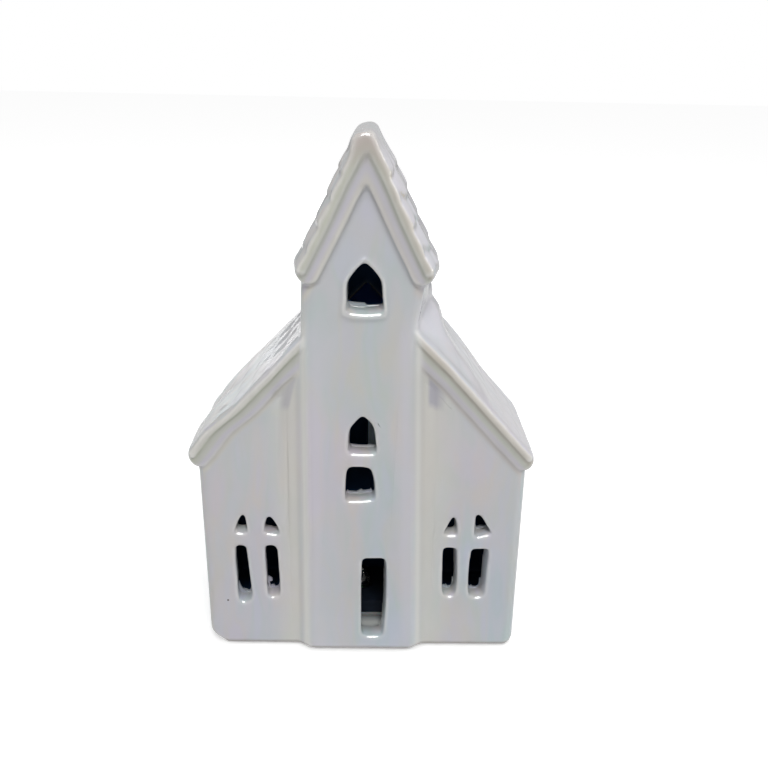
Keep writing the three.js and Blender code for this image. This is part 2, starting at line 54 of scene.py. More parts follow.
FOCUS_PIXELS = 890.5
SENSOR = 36.0


def camera_turn(yaw, pitch, roll):
    """Looks along +Y, turned right by the yaw and down by the pitch, then rolled about the line of sight."""
    forward = Vector((math.sin(yaw) * math.cos(pitch), math.cos(yaw) * math.cos(pitch), -math.sin(pitch)))
    level = Vector((math.cos(yaw), -math.sin(yaw), 0.0))
    right = level * math.cos(roll) + level.cross(forward) * math.sin(roll)
    up = right.cross(forward)
    return Matrix((right, up, -forward)).transposed().to_4x4()


camera = bpy.data.objects.new("camera", bpy.data.cameras.new("camera"))
bpy.context.scene.collection.objects.link(camera)
camera.matrix_world = Matrix.Translation(CAMERA_PLACE) @ camera_turn(CAMERA_YAW, CAMERA_PITCH, CAMERA_ROLL)
camera.data.sensor_width = SENSOR
camera.data.lens = FOCUS_PIXELS / PHOTO_SIDE * SENSOR
camera.data.clip_start = 0.01
bpy.context.scene.camera = camera

# The studio
# A plain pale floor and a surround, which the camera sees as white and the reflections as grey. The light
# comes from a soft panel overhead, a softbox in front and one behind, a strip at each side and the surround.
# Three more panels are there for the glaze's reflections alone.
FLOOR_SIDE = 6.0
FLOOR_COLOUR = (0.72, 0.72, 0.72, 1.0)
FLOOR_GLOW = {"From Min": 0.12, "From Max": 0.6, "To Min": 0.46, "To Max": 0.72}
FLOOR_GLOSS = 0.1
SURROUND_LEVEL = 0.34
SURROUND_GLOSS = 0.55
# Each lamp has its place, the height of the point it faces over the middle, its size, its watts, and the
# rays that see it.
LAMPS = {
    "panel_overhead": ((0.0, -0.10, 0.62), 0.05, (0.12, 0.10), 0.2, "all"),
    "softbox_front": ((0.08, -0.74, 0.94), 0.06, (0.32, 0.24), 6.6, "all"),
    "softbox_rear": ((-0.2, 0.85, 0.3), 0.06, (0.5, 0.3), 2.4, "diffuse"),
    "strip_left": ((-0.55, 0.02, 0.28), 0.07, (0.04, 0.5), 0.25, "all"),
    "strip_right": ((0.55, 0.02, 0.28), 0.07, (0.04, 0.5), 0.9, "all"),
    "glint_high": ((0.0, -0.46, 0.72), 0.06, (0.5, 0.7), 17.0, "glossy"),
    "glint_left": ((-0.6, -0.2, 0.25), 0.07, (0.06, 0.5), 0.45, "glossy"),
    "glint_right": ((0.6, -0.2, 0.25), 0.07, (0.06, 0.5), 0.4, "glossy"),
}


def node(tree, kind, **settings):
    """A new shader node with its settings."""
    made = tree.nodes.new(kind)
    for name, value in settings.items():
        setattr(made, name, value)
    return made


def feed(tree, socket, value):
    """Gives a socket a value, or links another node's output to it."""
    if isinstance(value, bpy.types.NodeSocket):
        tree.links.new(value, socket)
    else:
        socket.default_value = value


def maths(tree, operation, *values, clamp=False):
    """One step of arithmetic; each value is a number or another node's output."""
    step = node(tree, "ShaderNodeMath", operation=operation, use_clamp=clamp)
    for socket, value in zip(step.inputs, values):
        feed(tree, socket, value)
    return step.outputs[0]


def times(tree, first, *others):
    """The product of the values."""
    for other in others:
        first = maths(tree, "MULTIPLY", first, other)
    return first


def object_place(tree):
    return node(tree, "ShaderNodeTexCoord").outputs["Object"]


def principled(tree, **sockets):
    """The output of a principled shader with these sockets; their names have underscores for spaces."""
    shader = node(tree, "ShaderNodeBsdfPrincipled")
    for name, value in sockets.items():
        feed(tree, shader.inputs[name.replace("_", " ")], value)
    return shader.outputs[0]


def blank_material(name):
    """An empty material, its tree, and the socket for its surface."""
    material = bpy.data.materials.new(name)
    material.use_nodes = True
    tree = material.node_tree
    tree.nodes.clear()
    return material, tree, node(tree, "ShaderNodeOutputMaterial").inputs["Surface"]


def studio_floor():
    """A square on the ground, which is clear when it is seen from below. Its glow grows with the distance."""
    half = FLOOR_SIDE / 2
    mesh = bpy.data.meshes.new("studio_floor")
    corners = [(-half, -half, 0), (half, -half, 0), (half, half, 0), (-half, half, 0)]
    mesh.from_pydata(corners, [], [(0, 1, 2, 3)])
    floor = bpy.data.objects.new("studio_floor", mesh)
    bpy.context.scene.collection.objects.link(floor)
    material, tree, surface = blank_material("studio_paper")
    path = node(tree, "ShaderNodeLightPath").outputs
    seen = maths(tree, "MULTIPLY_ADD", path["Is Glossy Ray"], FLOOR_GLOSS, path["Is Camera Ray"])
    reach = node(tree, "ShaderNodeVectorMath", operation="LENGTH")
    feed(tree, reach.inputs[0], object_place(tree))
    glow = node(tree, "ShaderNodeMapRange", interpolation_type="SMOOTHSTEP")
    feed(tree, glow.inputs["Value"], reach.outputs["Value"])
    for socket, value in FLOOR_GLOW.items():
        glow.inputs[socket].default_value = value
    paper = principled(tree, Base_Color=FLOOR_COLOUR, Roughness=0.9, Specular_IOR_Level=0.0,
                       Emission_Color=(1, 1, 1, 1),
                       Emission_Strength=times(tree, seen, glow.outputs["Result"]))
    one_sided = node(tree, "ShaderNodeMixShader")
    feed(tree, one_sided.inputs[0], node(tree, "ShaderNodeNewGeometry").outputs["Backfacing"])
    feed(tree, one_sided.inputs[1], paper)
    feed(tree, one_sided.inputs[2], node(tree, "ShaderNodeBsdfTransparent").outputs[0])
    feed(tree, surface, one_sided.outputs[0])
    mesh.materials.append(material)


def studio_surround():
    """World light: white to the camera and through clear things, lower in reflections, and lower still for
    the light that falls on things."""
    world = bpy.data.worlds.new("studio_surround")
    bpy.context.scene.world = world
    world.use_nodes = True
    tree = world.node_tree
    background = tree.nodes["Background"]
    background.inputs["Color"].default_value = (1, 1, 1, 1)
    path = node(tree, "ShaderNodeLightPath").outputs
    level = maths(tree, "MAXIMUM", times(tree, path["Is Glossy Ray"], SURROUND_GLOSS), SURROUND_LEVEL)
    seen = maths(tree, "MAXIMUM", path["Is Camera Ray"], path["Is Transmission Ray"])
    feed(tree, background.inputs["Strength"], maths(tree, "MAXIMUM", level, seen))


def studio_lamp(name, place, aim_height, size, watts, rays):
    """A rectangular lamp. It may be there for the reflections alone, or for everything but them."""
    lamp = bpy.data.lights.new(name, "AREA")
    lamp.shape = "RECTANGLE"
    lamp.size, lamp.size_y = size
    lamp.energy = watts
    lit = bpy.data.objects.new(name, lamp)
    bpy.context.scene.collection.objects.link(lit)
    sight = Vector((0.0, 0.0, aim_height)) - Vector(place)
    lit.matrix_world = Matrix.Translation(place) @ sight.to_track_quat("-Z", "Y").to_matrix().to_4x4()
    lit.visible_diffuse = rays != "glossy"
    lit.visible_transmission = rays != "glossy"
    lit.visible_glossy = rays != "diffuse"


studio_floor()
studio_surround()
for lamp_name, lamp_setup in LAMPS.items():
    studio_lamp(lamp_name, *lamp_setup)
bpy.context.scene.view_settings.view_transform = "Standard"

# The ceramic church: its walls
# One hollow slip-cast body. Slip sets against a plaster mould in an even wall, so the inside follows the
# outside, and a thick glaze then rounds every edge. Lengths are in millimetres and +Y is to the rear.
MM = 0.001
WALL = 5.0
UNDERSIDE = 0.8
FLOOR_TOP = 5.3
NAVE_WIDTH = 90.6
NAVE_FACE = -17.25
NAVE_BACK = 20.75
TOWER_WIDTH = 33.0
TOWER_FACE = -19.95
TOWER_BACK = 3.05
CORNER_RADIUS = 3.0
BASE_RADIUS = 2.6
PARED_WIDTH = 5.4
PARED_HEIGHT = 3.6
CREASE_WIDTH = 4.6


def arc(centre, radius, start, end, steps):
    """Points on a circle about the centre, from the start angle to the end angle in degrees."""
    turn = np.radians(np.linspace(start, end, steps))
    return np.stack([centre[0] + radius * np.cos(turn), centre[1] + radius * np.sin(turn)], axis=1)


def ring_solid(name, rings):
    """A closed solid. The grid's two parameters are the ring and the place round it, and each end ring is
    filled flat. Its faces are turned round if its volume comes out negative."""
    count, around = rings.shape[:2]
    index = np.arange(count * around).reshape(count, around)
    following = np.roll(index, -1, axis=1)
    sides = np.stack([index[:-1], following[:-1], following[1:], index[1:]], axis=-1).reshape(-1, 4)
    faces = sides.tolist() + [index[0][::-1].tolist(), index[-1].tolist()]
    mesh = bpy.data.meshes.new(name)
    mesh.from_pydata((rings.reshape(-1, 3) * MM).tolist(), [], faces)
    shape = bmesh.new()
    shape.from_mesh(mesh)
    if shape.calc_volume(signed=True) < 0:
        bmesh.ops.reverse_faces(shape, faces=shape.faces)
    shape.to_mesh(mesh)
    shape.free()
    made = bpy.data.objects.new(name, mesh)
    bpy.context.scene.collection.objects.link(made)
    return made


def carried_back(name, outline, depths):
    """An elevation outline (x, z) repeated at each depth y."""
    x = np.broadcast_to(outline[:, 0], (len(depths), len(outline)))
    z = np.broadcast_to(outline[:, 1], x.shape)
    y = np.broadcast_to(np.asarray(depths, float)[:, None], x.shape)
    return ring_solid(name, np.stack([x, y, z], axis=-1))


def carried_up(name, outline, levels):
    """A plan outline (x, y) repeated at each level z."""
    x = np.broadcast_to(outline[:, 0], (len(levels), len(outline)))
    y = np.broadcast_to(outline[:, 1], x.shape)
    z = np.broadcast_to(np.asarray(levels, float)[:, None], x.shape)
    return ring_solid(name, np.stack([x, y, z], axis=-1))


def rounded_plan(x0, x1, y0, y1, radius, steps=8):
    """A rectangle with four quarter circles for corners."""
    return np.concatenate([
        arc((x1 - radius, y0 + radius), radius, -90, 0, steps),
        arc((x1 - radius, y1 - radius), radius, 0, 90, steps),
        arc((x0 + radius, y1 - radius), radius, 90, 180, steps),
        arc((x0 + radius, y0 + radius), radius, 180, 270, steps),
    ])


def nave_plan():
    """The nave's plan with the tower's step in front. The step is half a cosine wave, a crease wide."""
    share = np.linspace(0, 1, 15)
    x = TOWER_WIDTH / 2 + CREASE_WIDTH * (share - 0.5)
    y = TOWER_FACE + (NAVE_FACE - TOWER_FACE) * (1 - np.cos(np.pi * share)) / 2
    right = np.stack([x, y], axis=1)
    left = right[::-1] * (-1, 1)
    return np.concatenate([right, rounded_plan(-NAVE_WIDTH / 2, NAVE_WIDTH / 2, NAVE_FACE, NAVE_BACK,
                                               CORNER_RADIUS), left])


# The ceramic church: its roofs
# Each roof was modelled as a slab with rows of lapping round-ended tiles, drawn out past the gables as a
# fascia with a second, lower band behind it. The nave has ten rows of tiles and the tower has five.
NAVE = {"top": 114.4, "half_span": 47.2, "eave": 58.7, "nose": 3.25, "fascia": 2.7, "rows": 10,
        "front": NAVE_FACE - 2.2, "back": NAVE_BACK + 2.2, "band": 6.5, "relief": 0.2, "rise": 0.1}
TOWER = {"top": 150.0, "half_span": 18.4, "eave": 112.0, "nose": 3.3, "fascia": 4.0, "rows": 5,
         "front": TOWER_FACE - 3.0, "back": TOWER_BACK + 3.0, "band": 7.4, "relief": 1.15, "rise": 1.1}
RIDGE_RADIUS = 2.2
BAND_STEP = 1.2
EDGE_INSET = 0.8
EDGE_DEPTH = 3.0
RISE_DEPTH = 8.0
RIDGE_FREE = 8.0
TILE_WIDTH = 8.4
TILE_LAP = 0.34


def roof_slope(roof):
    """The line that touches the round ridge and the round nose of the eave from outside: its start, the
    unit vectors down it and out of it, and its length."""
    ridge = np.array([0.0, roof["top"] - RIDGE_RADIUS])
    nose = np.array([roof["half_span"] - roof["nose"], roof["eave"] + roof["nose"]])
    reach = np.hypot(*(nose - ridge))
    pitch = math.atan2(ridge[1] - nose[1], nose[0]) - math.asin((roof["nose"] - RIDGE_RADIUS) / reach)
    down = np.array([math.cos(pitch), -math.sin(pitch)])
    out = np.array([math.sin(pitch), math.cos(pitch)])
    length = math.sqrt(reach ** 2 - (roof["nose"] - RIDGE_RADIUS) ** 2)
    return ridge + out * RIDGE_RADIUS, down, out, length, pitch


def roof_middle(roof, depth):
    """Height at x = 0 of the line that lies a depth under the slope."""
    start, down, out, length, pitch = roof_slope(roof)
    return start[1] + start[0] * math.tan(pitch) - depth / math.cos(pitch)


def tile_relief(s, y, row_length, seed):
    """Height of the tiles at s down the slope and y along it. Each tile thickens towards its round lower
    end and laps over the next row, whose tiles lie half a tile along. No two tiles are quite alike."""
    height = np.zeros(np.broadcast(s, y).shape)
    row_here = np.floor(s / row_length)
    for lap in (0, 1):
        row = row_here - lap
        place = s / row_length - row
        along = y / TILE_WIDTH + 0.5 * np.mod(row, 2)
        across = 2 * (along - np.floor(along)) - 1
        end = 1 + TILE_LAP * np.sqrt(np.clip(1 - across ** 2, 0, 1))
        luck = np.mod(np.sin(row * 12.99 + np.floor(along) * 78.23 + seed) * 437.6, 1)
        thick = (0.2 + 0.8 * np.sin(0.5 * np.pi * place / end)) * (1 - 0.35 * across ** 2)
        height = np.maximum(height, np.where((place < end) & (row >= 0), thick * (0.9 + 0.2 * luck), 0))
    return height - 0.45


def roof_half(roof, thickness, above, below):
    """Right half of a slab's section, from the ridge round the eave to the middle of its underside: points,
    outward normals, and the place s down the slope with the share of the relief that each point takes. The
    slab is drawn in by some at its top, less so at the ridge, and by some at its underside."""
    start, down, out, length, pitch = roof_slope(roof)
    lean = math.degrees(pitch)
    s_ridge = -RIDGE_RADIUS * np.radians(np.linspace(lean, 0, 7)[:-1])
    ridge = arc((0, roof["top"] - RIDGE_RADIUS), RIDGE_RADIUS - below, 90, 90 - lean, 7)[:-1]
    s_slope = np.linspace(0, length, int(length / 0.55))
    drawn = below + (above - below) * np.clip(s_slope / RIDGE_FREE, 0, 1)
    slope = start + s_slope[:, None] * down - drawn[:, None] * out
    nose_centre = start + length * down - (thickness + above - below) / 2 * out
    nose = arc(nose_centre, (thickness - above - below) / 2, 90 - lean, -90 - lean, 16)[1:]
    underside = np.array([[0.0, roof_middle(roof, thickness - below)]])
    points = np.concatenate([ridge, slope, nose, underside])
    turn = np.radians(np.concatenate([np.linspace(90, 90 - lean, 7)[:-1], np.full(len(slope), 90 - lean),
                                      np.linspace(90 - lean, -90 - lean, 16)[1:]]))
    normals = np.concatenate([np.stack([np.cos(turn), np.sin(turn)], axis=1), [[0.0, 0.0]]])
    past = length + thickness / 2 * np.radians(np.linspace(0, 180, 16)[1:])
    s = np.concatenate([s_ridge, s_slope, past, [0]])
    share = np.concatenate([np.zeros(6), np.clip(s_slope / RIDGE_FREE, 0, 1),
                            np.linspace(0.9, -1.2, 15).clip(0), [0]])
    return points, normals, s, share


def roof_slab(name, roof, thickness, front, back, seed):
    """A slab from gable to gable. The grid's parameters are the place round the section and the depth. The
    section draws in near both ends as a quarter ellipse, its top also by half a cosine wave over a longer
    way, and the tile relief lifts it along its normals."""
    into = EDGE_DEPTH * (1 - np.cos(np.linspace(0, np.pi / 2, 7)))
    depths = np.concatenate([front + into, np.linspace(front + EDGE_DEPTH, back - EDGE_DEPTH, 60)[1:-1],
                             (back - into)[::-1]])
    from_end = np.minimum(depths - front, back - depths)
    edge = np.clip(from_end / EDGE_DEPTH, 0, 1)
    insets = EDGE_INSET * (1 - np.sqrt(1 - (1 - edge) ** 2))
    rises = roof["rise"] * (1 + np.cos(np.pi * np.clip(from_end / RISE_DEPTH, 0, 1))) / 2
    rings = []
    for depth, inset, rise in zip(depths, insets, rises):
        points, normals, s, share = roof_half(roof, thickness, inset + rise, inset)
        halves = []
        for side in (1, -1):
            relief = tile_relief(s, np.full_like(s, depth + 0.37 * side), roof_slope(roof)[3] / roof["rows"],
                                 seed + side)
            lift = roof["relief"] * share * relief
            halves.append((points + normals * lift[:, None]) * (side, 1))
        outline = np.concatenate([halves[0], halves[1][1:-1][::-1]])
        rings.append(np.stack([outline[:, 0], np.full(len(outline), depth), outline[:, 1]], axis=1))
    return ring_solid(name, np.array(rings))


def under_roof(roof, depth, half_width, bottom):
    """The space under a roof: its gable a depth under the slope, and two upright sides down to the bottom."""
    top = roof_middle(roof, depth)
    shoulder = top - half_width * math.tan(roof_slope(roof)[4])
    right = [(half_width, shoulder), (half_width, bottom)]
    left = [(-half_width, bottom), (-half_width, shoulder)]
    return np.array([(0, top)] + right + [(0, bottom)] + left)


def nave_elevation():
    """The nave's front: upright walls, the gable up into the middle of the roof, a round lower corner on the
    right, and on the left a lower corner that was pared off flat."""
    half = NAVE_WIDTH / 2
    gable = under_roof(NAVE, NAVE["nose"], half, UNDERSIDE)
    pared = [(-half, UNDERSIDE + PARED_HEIGHT), (-half + PARED_WIDTH, UNDERSIDE)]
    return np.concatenate([
        arc((half - BASE_RADIUS, UNDERSIDE + BASE_RADIUS), BASE_RADIUS, -90, 0, 10), gable[1:2], gable[0:1],
        gable[5:6], pared])


# The ceramic church: what is cut through it
# The windows and the doorway were cut through the soft wall by hand with a knife, from outside, and their
# lower edges were wiped round. Each has its wall's face, how far it leans to the right on its way through,
# and its outline. The floor has a round-cornered hole for the lamp, with a recess for the lamp's flange.
CUTS = {
    "window_upper": (TOWER_FACE, 0.0, [
        (-5.1, 105.1), (-4.9, 108.5), (-4.6, 112.4), (-2.9, 115.2), (-1.4, 116.9), (-0.3, 117.6),
        (0.8, 117.0), (2.4, 115.4), (4.1, 112.8), (4.4, 109.5), (4.6, 105.5), (4.1, 104.8), (-0.3, 104.4),
        (-4.6, 104.8)]),
    "window_middle": (TOWER_FACE, 0.3, [
        (-4.6, 65.0), (-4.5, 68.8), (-4.1, 71.9), (-2.6, 74.0), (-1.2, 75.5), (-0.5, 75.8), (0.3, 75.2),
        (1.8, 73.6), (2.7, 71.6), (3.1, 68.6), (3.5, 65.1), (3.0, 64.5), (-0.5, 64.2), (-4.1, 64.5)]),
    "window_square": (TOWER_FACE, -0.4, [
        (-4.9, 58.9), (-5.1, 56.0), (-5.2, 51.4), (-4.9, 50.2), (-4.2, 49.8), (-0.8, 49.9), (2.6, 50.3),
        (3.3, 50.9), (3.4, 52.4), (3.0, 56.4), (2.2, 59.4), (1.4, 60.3), (-1.5, 60.6), (-4.0, 60.4)]),
    "doorway": (TOWER_FACE, -0.9, [
        (-0.3, 28.0), (-0.4, 22.0), (-0.3, 14.0), (-0.2, 8.4), (0.0, 6.0), (1.0, 5.0), (3.2, 4.7),
        (5.4, 5.0), (6.4, 6.1), (6.7, 8.6), (7.1, 16.0), (7.2, 23.0), (7.1, 29.4), (6.6, 31.4),
        (5.6, 31.9), (2.6, 31.8), (0.3, 31.6), (-0.2, 30.8)]),
    "light_1_head": (NAVE_FACE, -0.3, [
        (-36.7, 38.3), (-36.3, 37.8), (-33.4, 37.8), (-32.8, 38.4), (-33.1, 41.0), (-33.5, 43.4),
        (-34.1, 44.1), (-34.9, 43.2), (-35.9, 41.2)]),
    "light_1_slot": (NAVE_FACE, -0.5, [
        (-36.6, 33.0), (-36.7, 28.0), (-36.5, 22.5), (-36.5, 17.2), (-35.8, 15.0), (-34.6, 14.6),
        (-32.8, 15.4), (-32.1, 17.4), (-32.4, 21.0), (-32.8, 26.5), (-33.2, 31.5), (-33.6, 33.7),
        (-36.1, 33.9)]),
    "light_2_head": (NAVE_FACE, -0.3, [
        (-28.4, 38.4), (-27.9, 37.8), (-24.3, 37.4), (-23.6, 38.2), (-24.5, 40.7), (-25.8, 42.8),
        (-26.7, 43.6), (-27.5, 42.9), (-28.0, 41.2)]),
    "light_2_slot": (NAVE_FACE, -0.35, [
        (-28.1, 33.3), (-28.2, 30.0), (-28.0, 24.0), (-27.9, 18.6), (-27.3, 16.9), (-26.0, 16.4),
        (-24.4, 17.1), (-23.8, 19.0), (-24.0, 24.5), (-24.3, 30.4), (-24.5, 32.6), (-25.4, 33.9),
        (-27.6, 34.0)]),
    "light_3_head": (NAVE_FACE, -0.6, [
        (22.9, 38.4), (23.5, 37.8), (26.6, 37.8), (27.2, 38.6), (26.9, 41.2), (26.3, 43.4), (25.6, 44.1),
        (24.9, 43.1), (23.8, 40.6)]),
    "light_3_slot": (NAVE_FACE, -0.8, [
        (23.0, 33.0), (23.1, 27.0), (23.3, 20.6), (23.5, 18.3), (24.4, 17.4), (25.5, 17.2), (26.7, 17.4),
        (27.5, 18.3), (27.7, 20.6), (27.7, 25.0), (27.4, 31.0), (27.1, 33.4), (26.2, 33.8), (23.6, 33.8)]),
    "light_4_head": (NAVE_FACE, 0.2, [
        (31.6, 38.4), (32.3, 37.2), (34.5, 37.8), (36.6, 38.3), (36.6, 39.2), (35.3, 41.3), (33.9, 43.7),
        (32.5, 44.9), (31.8, 44.3), (31.7, 41.5)]),
    "light_4_slot": (NAVE_FACE, -1.1, [
        (31.2, 33.0), (30.9, 27.0), (31.0, 20.6), (31.2, 18.2), (32.0, 17.3), (33.5, 17.0), (35.1, 17.3),
        (36.0, 18.3), (36.2, 20.6), (36.3, 25.0), (36.5, 31.5), (36.2, 33.5), (34.6, 33.7), (31.8, 33.5)]),
}
MOUTH_FLARE = 0.3
SILL_FLARE = 0.75
SILL_DROP = 0.35
FLARE_DEPTH = 3.4
CUT_TAPER = 0.1
SURROUND_RIM = 0.9
SURROUND_RISE = 0.7
SURROUND_LIP = 0.8
COVES = {1: (6.5, 13.0), -1: (3.0, 4.0)}
LAMP_MIDDLE = 1.75
LAMP_HOLE = {"half_width": 17.4, "half_depth": 10.9, "radius": 4.4}
LAMP_RECESS = {"half_width": 19.4, "half_depth": 12.9, "radius": 5.0, "top": 2.7}


def closed_spline(points, steps=5):
    """A smooth closed curve through given points: each span is a cubic of the four points about it."""
    p = np.asarray(points, float)
    a, b, c, d = (np.roll(p, shift, axis=0)[:, None, :] for shift in (1, 0, -1, -2))
    t = np.linspace(0, 1, steps, endpoint=False)[None, :, None]
    curve = 2 * b + (c - a) * t + (2 * a - 5 * b + 4 * c - d) * t ** 2 + (3 * b - a - 3 * c + d) * t ** 3
    return (curve / 2).reshape(-1, 2)


def outward(outline):
    """The outline's normals, which point away from its middle."""
    tangent = np.roll(outline, -1, axis=0) - np.roll(outline, 1, axis=0)
    normal = np.stack([tangent[:, 1], -tangent[:, 0]], axis=1)
    normal /= np.linalg.norm(normal, axis=1)[:, None]
    middle = outline.mean(axis=0)
    if np.sum((outline - middle) * normal) < 0:
        normal = -normal
    return normal


def drawn_in(outline, amount):
    """The outline moved inwards along its normals by an amount for each point."""
    return outline - outward(outline) * np.reshape(amount, (-1, 1))


def fade(value, start, end):
    """Nought before the start, one past the end, with half a cosine wave between."""
    return (1 - np.cos(np.pi * np.clip((value - start) / (end - start), 0, 1))) / 2


def sill_share(outline):
    """One where the outline's edge looks straight down, nought where it looks sideways or up."""
    return np.clip(-outward(outline)[:, 1], 0, 1) ** 2


def knife_cut(name, face, lean, points):
    """The clay taken out of one opening. Rings go back through the wall. Over the flare's depth the mouth
    narrows as a quarter ellipse, most of all along the sill, and then it narrows by the taper."""
    outline = closed_spline(points)
    sill = sill_share(outline)
    rings = []
    for back, taper in ((-3, 0), (0, 0), (0.35, 0), (1.0, 0), (2.0, 0), (FLARE_DEPTH, 0), (6.6, 1)):
        share = np.clip(back / FLARE_DEPTH, 0, 1)
        flare = (MOUTH_FLARE + SILL_FLARE * sill) * math.sqrt(1 - (1 - share) ** 2)
        ring = drawn_in(outline, flare + CUT_TAPER * taper - SILL_DROP * sill)
        shift = lean * max(back, 0) / WALL
        rings.append(np.stack([ring[:, 0] + shift, np.full(len(ring), face + back), ring[:, 1]], axis=1))
    return ring_solid(name, np.array(rings))


def join_step(target, other, operation):
    """Joins the other solid to the target, or cuts it out."""
    step = target.modifiers.new(other.name, "BOOLEAN")
    step.operation = operation
    step.object = other
    step.solver = "MANIFOLD"
    other.hide_render = True


def church_body():
    """Walls and roofs joined, then hollowed and cut."""
    ends = [NAVE_FACE - 4, NAVE_BACK + 4]
    body = carried_up("ceramic_church", nave_plan(), [UNDERSIDE, NAVE["top"]])
    join_step(body, carried_back("nave_gables", nave_elevation(), ends), "INTERSECT")
    tower = carried_up("tower_walls", rounded_plan(-TOWER_WIDTH / 2, TOWER_WIDTH / 2, TOWER_FACE, TOWER_BACK,
                                                   CORNER_RADIUS), [UNDERSIDE, TOWER["top"]])
    gable = under_roof(TOWER, TOWER["nose"], TOWER_WIDTH / 2 + 1, UNDERSIDE)
    join_step(tower, carried_back("tower_gables", gable, ends), "INTERSECT")
    join_step(body, tower, "UNION")
    for name, roof, seed in (("nave", NAVE, 1.3), ("tower", TOWER, 4.1)):
        band = roof_slab(name + "_inner_band", roof, roof["band"], roof["front"] + BAND_STEP,
                         roof["back"] - BAND_STEP, seed)
        fascia = roof_slab(name + "_fascia", roof, roof["fascia"], roof["front"], roof["back"], seed)
        join_step(body, band, "UNION")
        join_step(body, fascia, "UNION")
    for side in (1, -1):
        join_step(body, tower_cove(side), "UNION")
    rim = drawn_in(closed_spline(CUTS["window_upper"][2]), -SURROUND_RIM)
    rim[:, 1] -= SURROUND_LIP * (rim[:, 1] < rim[:, 1].min() + 2)
    join_step(body, carried_back("window_rim", rim, [TOWER_FACE - SURROUND_RISE, TOWER_FACE + 1]), "UNION")
    inside = [
        carried_back("nave_hollow", under_roof(NAVE, WALL, NAVE_WIDTH / 2 - WALL, FLOOR_TOP),
                     [NAVE_FACE + WALL, NAVE_BACK - WALL]),
        carried_back("tower_hollow", under_roof(TOWER, WALL, TOWER_WIDTH / 2 - WALL, FLOOR_TOP),
                     [TOWER_FACE + WALL, TOWER_BACK - WALL]),
        carried_up("lamp_hole", floor_hole(LAMP_HOLE), [UNDERSIDE - 1, FLOOR_TOP + 1]),
        carried_up("flange_recess", floor_hole(LAMP_RECESS), [UNDERSIDE - 1, LAMP_RECESS["top"]]),
    ]
    cuts = [knife_cut(name, *cut) for name, cut in CUTS.items()]
    for cutter in inside + cuts:
        join_step(body, cutter, "DIFFERENCE")
    return body


def tower_cove(side):
    """The clay that fills the corner where the tower's side rises from the nave's roof. It runs out on the
    slope as a parabola, (1 - share) squared of its height, and grows in size from the front to the rear."""
    pitch = roof_slope(NAVE)[4]
    wall = TOWER_WIDTH / 2 - 0.5
    up, reach = COVES[side]
    share = np.linspace(0, 1, 9)
    sizes = ((NAVE["front"] + 1.5, 0.1), (NAVE["front"] + 7, 0.4), (TOWER_BACK - 8, 1), (TOWER_BACK - 1, 1))
    rings = []
    for depth, size in sizes:
        x = wall + reach * size * share
        z = roof_middle(NAVE, 0) - x * math.tan(pitch) + up * size * (1 - share) ** 2 - 0.2 * share
        under = [[x[-1], z[-1] - 2], [wall, z[0] - up * size - 4]]
        outline = np.concatenate([np.stack([x, z], axis=1), under])
        rings.append(np.stack([side * outline[:, 0], np.full(len(outline), depth), outline[:, 1]], axis=1))
    return ring_solid("tower_cove", np.array(rings))


def floor_hole(hole):
    """Plan of a round-cornered hole under the lamp's middle."""
    return rounded_plan(-hole["half_width"], hole["half_width"], LAMP_MIDDLE - hole["half_depth"],
                        LAMP_MIDDLE + hole["half_depth"], hole["radius"])


# The ceramic church: glaze over the whole
# The glaze lies thick in the corners and thin on the edges, so the joined body is turned into fine cells
# and smoothed. Then it settles a little: the left side bows out and the walls are never quite flat.
CELL = 0.45
GLAZE_ROUNDS = 12
FACES_KEPT = 180000
DENTS = ((-21.4, 79.2), (18.6, 80.0))


def hill(value, middle, width):
    """One at the middle, falling off on both sides as a bell curve."""
    return np.exp(-((value - middle) / width) ** 2)


def bowed_left(x, y, z):
    """How far the nave's eave, roof and wall stand out on the left."""
    eave_front = (1.1 * hill(z, 63, 6.5) + 1.9 * hill(z, 70, 5)) * fade(-y, -14, 4)
    eave_rear = 0.9 * hill(z, 71.5, 6) * fade(y, 5, 18)
    roof = 0.9 * hill(z, 80, 9) * fade(-x, 15, 23)
    wall = 0.6 * hill(z, 44, 16) * fade(-x, 36, 44)
    return fade(-x, 20, 36) * (eave_front + eave_rear) + roof + wall


def tower_leans(x, y, z):
    """How far the tower's right front corner, its right rear corner and its left front corner lean left."""
    below_roof = 1 - fade(z, 106, 113)
    right_corner = fade(x, 4, 13) * (1 - fade(x, 18, 23)) * np.clip(z / 95, 0, 1) * below_roof
    right_front = 2.9 * right_corner * (1 - fade(y, -19, 2))
    right_rear = -1.8 * right_corner * fade(y, -19, 2) * (1 - fade(y, 4, 12))
    left_front = 0.6 * fade(-x, 8, 14) * (1 - fade(-x, 19, 26)) * below_roof * fade(-y, 8, 14)
    return right_front, right_rear, left_front


def roof_turn(x, y, z):
    """How far the tower's roof is turned, and how much fuller it is near the top."""
    turn = fade(z, 103, 113) * (0.27 + 0.029 * y)
    return turn + 0.75 * hill(z, 141, 10) * x / (np.abs(x) + 1) - 1.2 * hill(z, 148, 3) * fade(-x, 0, 2)


def roof_sweep(x, y, z):
    """The share of the nave's right slope that sweeps up to the tower at the rear."""
    sweep = fade(x, 14.5 - 11.5 * fade(y, 4, 9), 19) * (1 - fade(x, 26, 42)) * fade(y, -16, -6)
    return sweep * fade(z, 70, 85) * (1 - fade(z, 105, 111))


